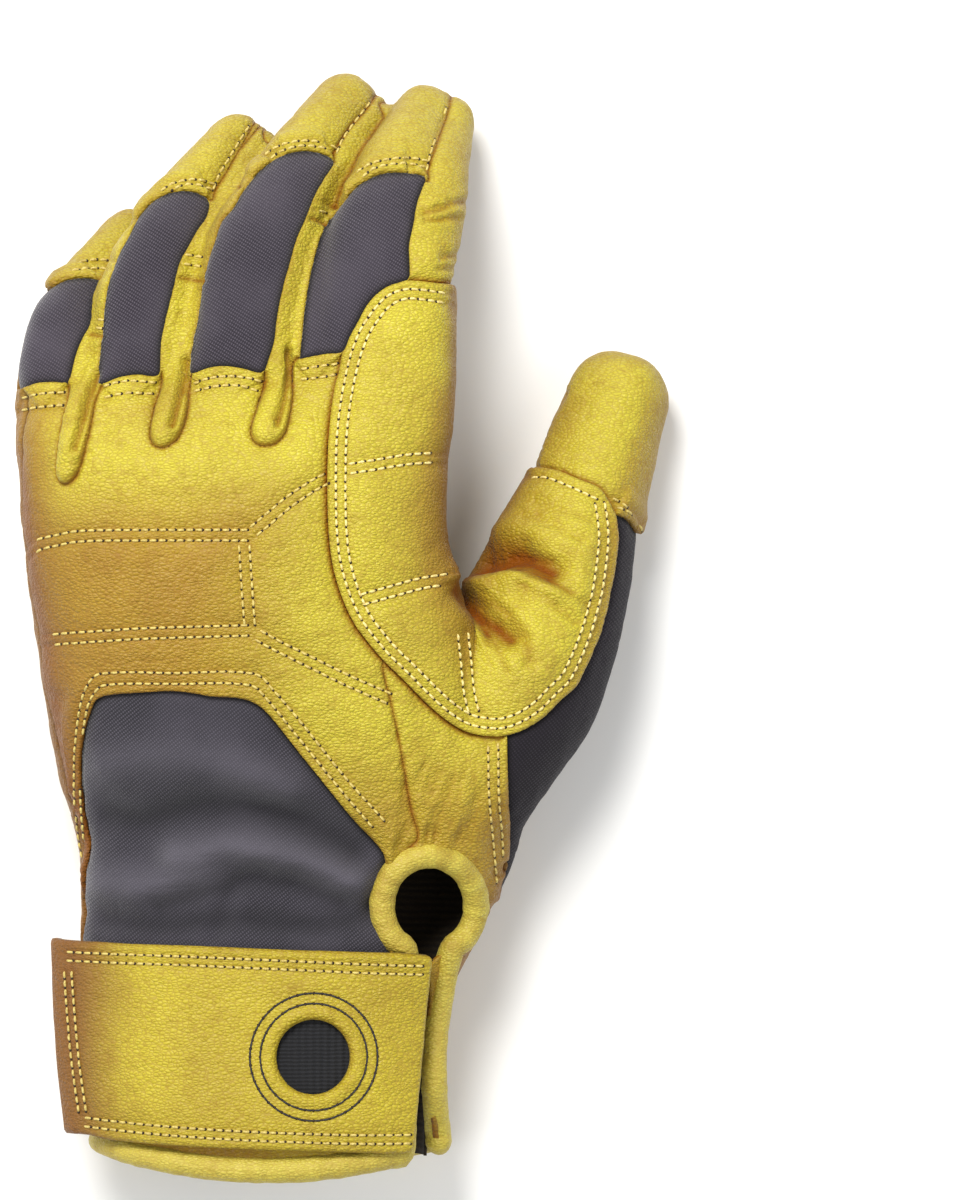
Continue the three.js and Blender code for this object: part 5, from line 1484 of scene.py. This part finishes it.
        # Painted shade in seam grooves and on lapping edges, and a painted shadow beside each lapping edge on the
        # panel under it.
        height -= turned * self.seam_depth * bump_at(gap, self.seam_width)
        tint += turned * 0.75 * bump_at(gap, 0.5)
        steady = np.ones_like(gap) if panel.layer is Layer.OVER else 1 - smoothstep(3.5, 8.0, gap)
        height += over * panel.lap * steady * (0.45 + 0.55 * edge)
        tint += over * 0.25 * bump_at(gap, 0.5)
        height -= under * 0.45 * bump_at(gap, 1.3)
        tint += under * 0.95 * bump_at(gap, 1.0)
        if panel.layer is Layer.OVER:
            height += ~over * panel.lap
        height += panel.puff * (1 - np.exp(-((gap / 6.0) ** 2)))
        local = index[faces]
        pairs = np.sort(np.stack([local, np.roll(local, -1, axis=1)], axis=2).reshape(-1, 2), axis=1)
        pairs = np.unique(pairs, axis=0)
        height = spread(height, pairs[:, 0], pairs[:, 1], 2, 0.4)
        soft = 0.4 if panel.dress is Dress.TWILL else 1.0
        height += skin.values["relief"][used] * soft
        normal = self.normal[used]
        outer = points + normal * height[:, None]
        outer[:, 2] = np.maximum(outer[:, 2], 0.0)
        inner = points + normal * (np.minimum(height, 0.0) - self.wall)[:, None]
        inner[:, 2] = np.maximum(inner[:, 2], 0.35)
        rim = index[border]
        n = len(used)
        walls = np.vstack([np.column_stack([rim[:, 1], rim[:, 0], rim[:, 0] + n]),
                           np.column_stack([rim[:, 1], rim[:, 0] + n, rim[:, 1] + n])])
        all_faces = np.vstack([local, local[:, ::-1] + n, walls])
        tint = np.clip(tint + skin.values["tint"][used], 0, 1)
        # Inner faces get painted shade as well.
        values = {"crease": np.concatenate([tint, np.full(n, 0.6)])}
        for key in ("flank", "bright", "ridge"):
            values[key] = np.tile(skin.values[key][used], 2)
        # Painted top light on the up-facing faces of lit panels, with less painted side shade.
        seen = smoothstep(-0.35, 0.1, np.tile(normal[:, 2], 2)) * panel.lit
        values["flank"] *= 1 - 0.85 * seen
        values["bright"] = np.maximum(values["bright"], 0.95 * seen)
        mesh_piece(f"{panel.node}_panel", np.vstack([outer, inner]), all_faces, panel.dress.value,
                   [panel.node], values)
        base = len(self.raised)
        self.raised = np.vstack([self.raised, outer])
        self.plain = np.vstack([self.plain, local + base])

    def edge_gap(self, used: Array, border: Array, number: int) -> tuple[Array, Array]:
        """Distance of a panel's points to its border, and the panel across the nearest border."""
        skin = self.skin
        ends = np.unique(border)
        place = np.full(len(skin.points), -1)
        place[ends] = np.arange(len(ends))
        mates = np.tile(np.arange(len(ends))[:, None], (1, 2))
        for a, b in place[border]:
            mates[a, 1], mates[b, 0] = b, a
        across = np.full(len(ends), -1)
        touch = place[skin.faces]
        for corner in range(3):
            hit = (touch[:, corner] >= 0) & (skin.labels != number) & (skin.labels > 0)
            across[touch[hit, corner]] = skin.labels[hit]
        tree = KDTree(len(ends))
        for k, p in enumerate(skin.points[ends]):
            tree.insert(p, k)
        tree.balance()
        near = np.array([tree.find(p)[1] for p in skin.points[used]])
        gap = np.full(len(used), FAR)
        points, ring = skin.points[used], skin.points[ends]
        for side in range(2):
            a, b = ring[near], ring[mates[near, side]]
            d = b - a
            t = np.clip(((points - a) * d).sum(1) / np.maximum((d**2).sum(1), 1e-9), 0, 1)
            gap = np.minimum(gap, np.linalg.norm(points - a - d * t[:, None], axis=1))
        return gap, across[near]

    def dress(self) -> None:
        """Makes every panel."""
        self.raised, self.plain = np.zeros((0, 3)), np.zeros((0, 3), int)
        layers = {k + 1: panel.layer for k, panel in enumerate(PANELS)}
        for number, panel in enumerate(PANELS, 1):
            self.build_panel(number, panel, layers)


# Cuff: binding, lining, strap and knit
def roll(name: str, line: Array, radius: Array, facets: int, outward: Array, finish: Finish,
         nodes: Sequence[str], closed: bool = True, crease: Array | None = None) -> tuple[Array, Array]:
    """A rolled edge or cord along a line.

    Args:
        name: The piece's name.
        line: Points of its middle line.
        radius: Its radius at each point.
        facets: Points round it.
        outward: A direction away from the glove at each point.
        finish: Its finish.
        nodes: The nodes that it stands for.
        closed: Whether it joins its own start.
        crease: How much painted shade each ring has, from 0 to 1.

    Returns:
        Its points and triangles.
    """
    forward = np.roll(line, -1, axis=0) - np.roll(line, 1, axis=0)
    if not closed:
        forward[0], forward[-1] = line[1] - line[0], line[-1] - line[-2]
    forward /= np.linalg.norm(forward, axis=1)[:, None]
    side = np.cross(forward, outward)
    side /= np.linalg.norm(side, axis=1)[:, None]
    up = np.cross(side, forward)
    turns = np.linspace(0, 2 * np.pi, facets, endpoint=False)
    ring = (line[:, None] + radius[:, None, None] * (np.cos(turns)[None, :, None] * side[:, None]
                                                     + np.sin(turns)[None, :, None] * up[:, None]))
    points = ring.reshape(-1, 3)
    faces = []
    steps = len(line) if closed else len(line) - 1
    for r in range(steps):
        a, b = r * facets, ((r + 1) % len(line)) * facets
        for i in range(facets):
            j = (i + 1) % facets
            faces.append((a + i, b + i, b + j, a + j))
    points[:, 2] = np.maximum(points[:, 2], 0.0)
    if not closed:
        faces.append(tuple(range(facets)))
        faces.append(tuple(range(len(points) - 1, len(points) - 1 - facets, -1)))
    wrinkle_shade = np.zeros(len(points)) if crease is None else np.repeat(crease, facets)
    points = points + 0.12 * value_noise(points, 2.2, 11)[:, None] * (points - np.repeat(line, facets, 0)) / 3
    mesh_piece(name, points, faces, finish, nodes, {"crease": wrinkle_shade, "flank": np.zeros(len(points)),
                                                    "bright": np.full(len(points), 0.6)})
    triangles = [(f[0], f[k], f[k + 1]) for f in faces for k in range(1, len(f) - 1)]
    return points, np.array(triangles)


@dataclass
class Cuff:
    """The cuff's trim: rolled binding, fleece lining, strap and the knit under it."""

    form: HandForm = field(default_factory=HandForm)
    slit_x: float = 18.458
    slit_width: float = 7.0
    keyhole: tuple[float, float] = (21.266, -64.834)
    keyhole_half: tuple[float, float] = (10.9, 11.7)
    flare: float = 2.2
    lining_reach: float = 78.0
    strap_low: float = 8.0
    strap_width: float = 44.0
    strap_slope: float = 0.045
    strap_wall: float = 2.4
    strap_right: float = 18.458
    hole: tuple[float, float] = (-5.296, -99.43)
    hole_radius: float = 8.6
    surfaces: list = field(default_factory=list)

    def keyhole_loop(self) -> list[tuple[float, float]]:
        """The round part of the cut-out, from the slit's left edge to its right edge."""
        turns = np.radians(np.arange(-150, 151, 15))
        (x, y), (w, h) = self.keyhole, self.keyhole_half
        return [(x + w * math.sin(t), y + h * math.cos(t)) for t in turns]

    def keyhole_outline(self) -> Path:
        """The whole cut-out seen from above, open past the hem."""
        low = SHIFT[1] - 30
        left, right = self.slit_x - self.slit_width / 2, self.slit_x + self.slit_width / 2
        loop = self.keyhole_loop()
        rising = np.linspace(low, loop[0][1] - 4, 12)
        falling = ((right + self.flare_at(y), y) for y in rising[::-1])
        return [*((left, y) for y in rising), *loop, *falling]

    def flare_at(self, y: float) -> float:
        """How far the slit's right edge stands out at a height, most at the hem."""
        above_hem = (y - SHIFT[1] - self.form.hem_rise) / (0.6 * self.strap_width)
        return self.flare * (1 - float(np.clip(above_hem, 0, 1))) ** 2

    def binding_line(self) -> Array:
        """Middle line of the binding: up the slit, round the keyhole, down and round the hem."""
        form, inset = self.form, -0.9
        left, right = self.slit_x - self.slit_width / 2, self.slit_x + self.slit_width / 2
        loop = self.keyhole_loop()

        def rise(x: float, to: tuple[float, float]) -> list[tuple[float, float]]:
            start = float(form.hem_line(x))
            return [(x + (to[0] - x) * t**3, start + (to[1] - start) * t) for t in (0, 0.3, 0.6, 0.85)]

        falling = [(x + self.flare_at(y), y) for x, y in rise(right, loop[-1])]
        seen = [*rise(left, loop[0]), *loop, *falling[::-1]]
        path = [form.skin_point(np.float64(y), np.array([form.turn_at(x, y, inset)]), inset)[0]
                for x, y in seen]
        first, last = form.turn_at(right, SHIFT[1], inset), form.turn_at(left, SHIFT[1], inset) - 2 * np.pi
        for k in range(1, 40):
            turn = np.array([first + (last - first) * k / 40])
            x = form.skin_point(np.float64(SHIFT[1]), turn, inset)[0, 0]
            path.append(form.skin_point(np.float64(form.hem_line(x)), turn, inset)[0])
        return smooth_path(np.array(path), True, 0.9)

    def build_binding(self) -> None:
        """Rolls the binding, a little uneven and wrinkled where it turns tightly, with painted shade in the
        wrinkles.
        """
        line = self.binding_line()
        line[:, 2] = np.maximum(line[:, 2], 2.4)
        middle = self.form.section(self.form.along(line[:, 1]))
        outward = line - np.column_stack([middle["centre"], line[:, 1], middle["lift"]])
        bend = np.linalg.norm(np.roll(line, 1, 0) + np.roll(line, -1, 0) - 2 * line, axis=1)
        wrinkle = value_noise(np.column_stack([np.arange(len(line)) * 0.9, line[:, 0] * 0, line[:, 0] * 0]), 1.9, 12)
        radius = 3.0 + 0.1 * wrinkle + 0.12 * value_noise(line, 9.0, 13)
        # Painted shade in the wrinkles, more where the binding bends.
        wrinkle_shade = np.clip(0.1 - 0.25 * wrinkle, 0, 0.3) * np.clip(bend / 0.06, 0.3, 1)
        self.surfaces.append(roll("cuff_binding_roll", line, radius, 20, outward, Dress.ROLLED.value,
                                  ["cuff_binding"], crease=wrinkle_shade))

    def build_lining(self) -> None:
        """A fleece tube inside the cuff, open under the keyhole and the slit, coloured very dark as painted shade
        for the cuff's inside.
        """
        turns = np.linspace(0, 2 * np.pi, 120, endpoint=False)
        ys = np.arange(SHIFT[1] + 5.0, SHIFT[1] + self.lining_reach, 1.5)
        rings = [self.form.skin_point(np.float64(y), turns, -3.6) for y in ys]
        skin = grid_skin(np.array(rings), closed=True)
        self.skin_panel(skin, "cuff_lining_fleece", "cuff_lining", Dress.LINING,
                        lambda p: np.maximum(outline_field(p[:, :2], smooth_path(self.keyhole_outline(), True, 1.0)) - 2.0,
                                             21.0 - p[:, 2]), 0.7, 0.0, cut_away=True)

    def strap_point(self, turn: Array, y: Array, offset: float) -> Array:
        """Points of the strap's outside; its end stands a little off the wrist."""
        lift = offset + 4.5 * smoothstep(2.3, 2.95, turn)
        return self.form.skin_point(y, turn, lift)

    def strap_grid(self, low: float, high: float, offset: float, first: float, last: float,
                   step: float) -> Array:
        """Even grid over the strap's run, rows from its lower to its upper edge."""
        rows = []
        turns = np.linspace(first, last, int(100 / step))
        for y in np.arange(low, high + step / 2, step):
            rows.append(self.strap_point(turns, np.float64(y + SHIFT[1]), offset))
        grid = np.array(rows)
        grid[..., 1] += self.strap_slope * (self.strap_right - grid[..., 0])
        return grid

    def build_strap(self) -> None:
        """Cuts the strap with round corners and its hole, and raises its stitched edges."""
        top = self.strap_low + self.strap_width
        first = self.form.turn_at(self.strap_right + 6.0, SHIFT[1] + 30, 4.7)
        grid = self.strap_grid(self.strap_low - 2, top + 2, 4.6, first, 2.93, 0.6)
        skin = grid_skin(grid)
        plan = skin.points[:, :2]
        relief, tint = np.zeros(len(plan)), np.zeros(len(plan))
        for row in STRAP_ROWS:
            gap = np.full(len(plan), FAR)
            for line in Stitching.lines(row):
                gap = np.minimum(gap, path_distance(plan, line, 6.0))
            relief -= 0.26 * bump_at(gap, 0.55) + 0.35 * bump_at(gap, 2.2)
            # Painted shade in the stitch channels.
            tint += 0.16 * bump_at(gap, 0.6)
        from_hole = np.linalg.norm(plan - self.hole, axis=1)
        for radius in (12.3, 14.7):
            relief -= 0.22 * bump_at(from_hole - radius, 0.6)
        relief += 0.5 * bump_at(from_hole - 10.4, 1.6)
        relief += 0.5 * value_noise(skin.points, 20.0, 21) + 0.12 * value_noise(skin.points, 5.0, 22)
        skin.values.update(relief=relief, tint=tint)
        outline = smooth_path(STRAP_OUTLINE, True, 0.8)

        def away(points: Array) -> Array:
            hole = np.linalg.norm(points[:, :2] - self.hole, axis=1) - self.hole_radius
            return np.minimum(hole, -outline_field(points[:, :2], outline))

        self.skin_panel(skin, "wrist_strap_leather", "wrist_strap", Dress.CUFF, away, self.strap_wall, 0.9,
                        cut_away=True)

    def build_tape(self) -> None:
        """The ribbed knit under the strap, whose loops show through the hole."""
        top = self.strap_low + self.strap_width
        first = self.form.turn_at(12.0, SHIFT[1] + 30, 1.8)
        grid = self.strap_grid(self.strap_low + 5, top - 4, 1.5, first, 2.6, 0.55)
        skin = grid_skin(grid)
        x, y = skin.points[:, 0], skin.points[:, 1]
        ribs = np.abs(np.sin(np.pi * x / 1.7))
        loops = 0.5 + 0.5 * np.sin(2 * np.pi * (y + 0.5 * np.abs(((x / 1.7) % 1) - 0.5)) / 1.1)
        near = smoothstep(15.0, 9.0, np.linalg.norm(skin.points[:, :2] - self.hole, axis=1))
        skin.values.update(relief=near * (0.75 * ribs * (0.7 + 0.3 * loops) + 0.4), tint=np.zeros(len(x)))
        self.skin_panel(skin, "strap_tape_knit", "strap_tape", Dress.KNIT, None, 0.9, 0.0)

    def skin_panel(self, skin: Skin, name: str, node: str, dress: Dress, away, wall: float,
                   round_edge: float, cut_away: bool = False) -> None:
        """Makes a closed wall of a skin of its own, with an opening cut away."""
        if cut_away:
            skin.cut(away(skin.points), -1)
        faces = skin.faces[skin.labels == 0]
        used = np.unique(faces)
        index = np.full(len(skin.points), -1)
        index[used] = np.arange(len(used))
        normal = skin.normals()[used]
        local = index[faces]
        pairs = np.stack([local, np.roll(local, -1, axis=1)], axis=2).reshape(-1, 2)
        keys = np.sort(pairs, axis=1)
        keys = keys[:, 0].astype(np.int64) * len(used) + keys[:, 1]
        _, first, repeats = np.unique(keys, return_index=True, return_counts=True)
        rim = pairs[first[repeats == 1]]
        points = skin.points[used]
        height = skin.values.get("relief", np.zeros(len(skin.points)))[used].copy()
        tint = skin.values.get("tint", np.zeros(len(skin.points)))[used].copy()
        if round_edge:
            tree = KDTree(len(rim))
            for k, p in enumerate(points[rim[:, 0]]):
                tree.insert(p, k)
            tree.balance()
            gap = np.array([tree.find(p)[2] for p in points])
            height -= round_edge * np.clip(1 - gap / 1.3, 0, 1) ** 2
            # Painted shade along the rounded cut edge.
            tint += 0.3 * bump_at(gap, 0.6)
        outer, inner = points + normal * height[:, None], points - normal * wall
        inner[:, 2] = np.maximum(inner[:, 2], 0.5)
        n = len(used)
        walls = np.vstack([np.column_stack([rim[:, 1], rim[:, 0], rim[:, 0] + n]),
                           np.column_stack([rim[:, 1], rim[:, 0] + n, rim[:, 1] + n])])
        # Painted shade on side-facing faces and towards the strap's left end.
        flank = np.maximum(0.8 * smoothstep(0.8, 0.2, normal[:, 2]), 0.95 * smoothstep(-44.0, -63.0, points[:, 0]))
        # Inner faces get painted shade as well.
        values = {"crease": np.concatenate([np.clip(tint, 0, 1), np.full(n, 0.5)]),
                  "flank": np.tile(np.clip(flank, 0, 1), 2), "bright": np.full(2 * n, 0.8)}
        mesh_piece(name, np.vstack([outer, inner]), np.vstack([local, local[:, ::-1] + n, walls]),
                   dress.value, [node], values)
        self.surfaces.append((outer, local))


def grid_skin(grid: Array, closed: bool = False) -> Skin:
    """A skin over a grid of points; closed joins each row's end to its start."""
    rows, columns = grid.shape[:2]
    numbers = np.arange(rows * columns).reshape(rows, columns)
    if closed:
        numbers = np.column_stack([numbers, numbers[:, 0]])
    a, b = numbers[:-1, :-1].ravel(), numbers[:-1, 1:].ravel()
    c, d = numbers[1:, 1:].ravel(), numbers[1:, :-1].ravel()
    faces = np.vstack([np.column_stack([a, c, b]), np.column_stack([a, d, c])])
    return Skin(grid.reshape(-1, 3), faces, {})


# Thread
@dataclass
class Stitching:
    """Lockstitch rows: each stitch an arched bead of thread between two needle holes, with dimples painted dark as
    shade in the holes.
    """

    pitch: float = 2.05
    length: float = 1.62
    radius: float = 0.31
    hole_radius: float = 0.42

    @staticmethod
    def lines(row: Row) -> list[Array]:
        """A row's lines in the plan, at each of its offsets."""
        base = smooth_path(row.path, row.closed, 0.6)
        if row.closed:
            base = np.vstack([base, base[:1]])
        tangent = np.gradient(base, axis=0)
        normal = np.column_stack([-tangent[:, 1], tangent[:, 0]])
        normal /= np.maximum(np.linalg.norm(normal, axis=1), 1e-9)[:, None]
        kernel = np.ones(7) / 7
        padded = np.pad(normal, ((3, 3), (0, 0)), "edge")
        normal = np.column_stack([np.convolve(padded[:, k], kernel, "valid") for k in range(2)])
        return [base + normal * offset for offset in row.offsets]

    def sew(self, name: str, rows: Sequence[Row], tree: BVHTree, dress: Dress, nodes: Sequence[str]) -> None:
        """Sews rows onto a surface.

        Args:
            name: The pieces' name.
            rows: The rows.
            tree: The surface, in millimetres.
            dress: The thread's finish.
            nodes: The nodes that the thread stands for, if any.
        """
        beads, holes = [], []
        for row in rows:
            drop = Vector((0, 0, -1 if row.top else 1))
            start = 90.0 if row.top else -20.0
            for line in self.lines(row):
                lengths = np.concatenate([[0], np.cumsum(np.linalg.norm(np.diff(line, axis=0), axis=1))])
                count = max(1, int(lengths[-1] / self.pitch))
                at = (np.arange(count) + 0.5) * lengths[-1] / count
                reach = self.length / 2
                spots = []
                for shift in (-reach, 0.0, reach):
                    plan = [np.interp(at + shift, lengths, line[:, k]) for k in range(2)]
                    spots.append([tree.ray_cast(Vector((x, y, start)), drop) for x, y in zip(*plan)])
                for before, middle, after in zip(*spots):
                    if before[0] is None or middle[0] is None or after[0] is None:
                        continue
                    if (before[0] - after[0]).length > 1.7 * self.length:
                        continue
                    beads.append(self.bead(before, middle, after))
                    holes.append((np.array(after[0]), np.array(after[1])))
        if not beads:
            return
        points = np.vstack([b for b in beads])
        ring, facets = 6, 6
        faces = []
        for k in range(len(beads)):
            base = k * ring * facets
            for r in range(ring - 1):
                for i in range(facets):
                    j = (i + 1) % facets
                    a, b = base + r * facets, base + (r + 1) * facets
                    faces.append((a + i, a + j, b + j, b + i))
            faces.append(tuple(base + i for i in range(facets - 1, -1, -1)))
            faces.append(tuple(base + (ring - 1) * facets + i for i in range(facets)))
        mesh_piece(f"thread_{name}", points, faces, dress.value, nodes)
        self.punch(name, holes)

    def bead(self, before, middle, after) -> Array:
        """Points of one stitch, arched from hole to hole."""
        a, m, b = (np.array(hit[0]) for hit in (before, middle, after))
        up = np.array(before[1]) + np.array(middle[1]) + np.array(after[1])
        up /= np.linalg.norm(up)
        along = b - a
        along /= np.linalg.norm(along)
        side = np.cross(up, along)
        side /= np.linalg.norm(side)
        turns = np.linspace(0, 2 * np.pi, 6, endpoint=False)
        out = []
        for t, size in ((0.0, 0.5), (0.16, 0.9), (0.38, 1.0), (0.62, 1.0), (0.84, 0.9), (1.0, 0.5)):
            rise = 0.75 * self.radius * math.sin(math.pi * t) - 0.25 * self.radius
            centre = a * (1 - t) + b * t + up * rise
            centre += (m - (a + b) / 2) * math.sin(math.pi * t)
            out.append(centre + self.radius * size * (np.outer(np.cos(turns), side) + np.outer(np.sin(turns), up)))
        return np.vstack(out)

    def punch(self, name: str, holes: list[tuple[Array, Array]]) -> None:
        """Dimples where the needle went in, coloured dark as painted shade in the holes."""
        points, faces = [], []
        for place, normal in holes:
            normal = normal / np.linalg.norm(normal)
            side = np.cross(normal, (1.0, 0.0, 0.0) if abs(normal[0]) < 0.8 else (0.0, 1.0, 0.0))
            side /= np.linalg.norm(side)
            other = np.cross(normal, side)
            base = len(points)
            turns = np.linspace(0, 2 * np.pi, 6, endpoint=False)
            for t in turns:
                points.append(place + self.hole_radius * (math.cos(t) * side + math.sin(t) * other)
                              + 0.03 * normal)
            points.append(place + 0.2 * normal)
            points.append(place - 0.3 * normal)
            for i in range(6):
                j = (i + 1) % 6
                faces.append((base + 6, base + i, base + j))
                faces.append((base + 7, base + j, base + i))
        mesh_piece(f"needle_holes_{name}", np.array(points), faces, Dress.HOLE.value, [])


# Studio
@dataclass
class Studio:
    """A pale photo table, soft boxes and the camera straight over the glove."""

    camera_height: float = 1.8
    aim: tuple[float, float] = (0.03472, 0.00607)
    floor_half: float = 3.0

    def build_floor(self) -> None:
        """A wide floor under the glove."""
        h = self.floor_half
        mesh = bpy.data.meshes.new("floor")
        mesh.from_pydata([(-h, -h, -0.0002), (h, -h, -0.0002), (h, h, -0.0002), (-h, h, -0.0002)], [],
                         [(0, 1, 2, 3)])
        mesh.materials.append(Dress.FLOOR.value.material())
        floor = bpy.data.objects.new("floor", mesh)
        bpy.context.scene.collection.objects.link(floor)

    def add_light(self, name: str, place: tuple[float, float, float], size: float, power: float,
                  warmth: tuple[float, float, float] = (1.0, 1.0, 1.0)) -> None:
        """A square soft box that faces the glove."""
        data = bpy.data.lights.new(name, "AREA")
        data.size, data.energy, data.color = size, power, warmth
        lamp = bpy.data.objects.new(name, data)
        lamp.location = place
        lamp.rotation_euler = (Vector((0, 0, 0.02)) - Vector(place)).to_track_quat("-Z", "Y").to_euler()
        bpy.context.scene.collection.objects.link(lamp)

    def build(self) -> None:
        """Floor, lights, world and camera."""
        self.build_floor()
        self.add_light("key_box", (-0.25, 0.62, 0.95), 0.45, 15.0, (1.0, 0.99, 0.96))
        self.add_light("fill_box", (0.75, -0.25, 1.0), 0.9, 5.0)
        self.add_light("left_box", (-0.9, -0.35, 0.7), 0.5, 3.5)
        world = bpy.data.worlds.new("studio")
        world.use_nodes = True
        back = world.node_tree.nodes["Background"]
        back.inputs[0].default_value = (1.0, 1.0, 1.0, 1.0)
        back.inputs[1].default_value = 0.42
        bpy.context.scene.world = world
        bpy.context.scene.view_settings.view_transform = "Standard"
        data = bpy.data.cameras.new("camera")
        data.sensor_fit, data.sensor_width = "AUTO", 36.0
        data.lens = 36.0 * (self.camera_height - 0.03) / (1200 / 4.3 * MM)
        data.clip_start, data.clip_end = 0.05, 20.0
        camera = bpy.data.objects.new("camera", data)
        camera.location = (*self.aim, self.camera_height)
        camera.rotation_euler = (0.0, 0.0, 0.0)
        bpy.context.scene.collection.objects.link(camera)
        bpy.context.scene.camera = camera


def main() -> None:
    """Builds the glove's sub-assemblies in order."""
    logging.basicConfig(level=logging.INFO, format="%(message)s")
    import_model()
    glove = PanelledSkin()
    glove.build()
    glove.dress()
    cuff = Cuff()
    cuff.build_binding()
    cuff.build_lining()
    cuff.build_tape()
    cuff.build_strap()
    leather = BVHTree.FromPolygons(glove.raised.tolist(), glove.plain.tolist())
    strap_points, strap_faces = cuff.surfaces[-1]
    strap = BVHTree.FromPolygons(strap_points.tolist(), strap_faces.tolist())
    thread = Stitching()
    thread.sew("back", BACK_ROWS, leather, Dress.THREAD_GOLD, [])
    thread.sew("patch", PATCH_ROWS, leather, Dress.THREAD_CREAM, [])
    thread.sew("palm", [row for row in PALM_ROWS if not row.cream], leather, Dress.THREAD_GOLD, [])
    thread.sew("palm_patch", [row for row in PALM_ROWS if row.cream], leather, Dress.THREAD_CREAM, [])
    thread.sew("strap", STRAP_ROWS, strap, Dress.THREAD_GOLD, [])
    turns = np.linspace(0, 2 * np.pi, 40, endpoint=False)
    rings = [Row([(cuff.hole[0] + r * math.cos(t), cuff.hole[1] + r * math.sin(t)) for t in turns],
                 closed=True) for r in (12.3, 14.7)]
    Stitching(pitch=1.9, length=1.85, radius=0.24).sew("hole_rings", rings, strap, Dress.THREAD_BLACK, [])
    Studio().build()


if __name__ == "__main__":
    main()
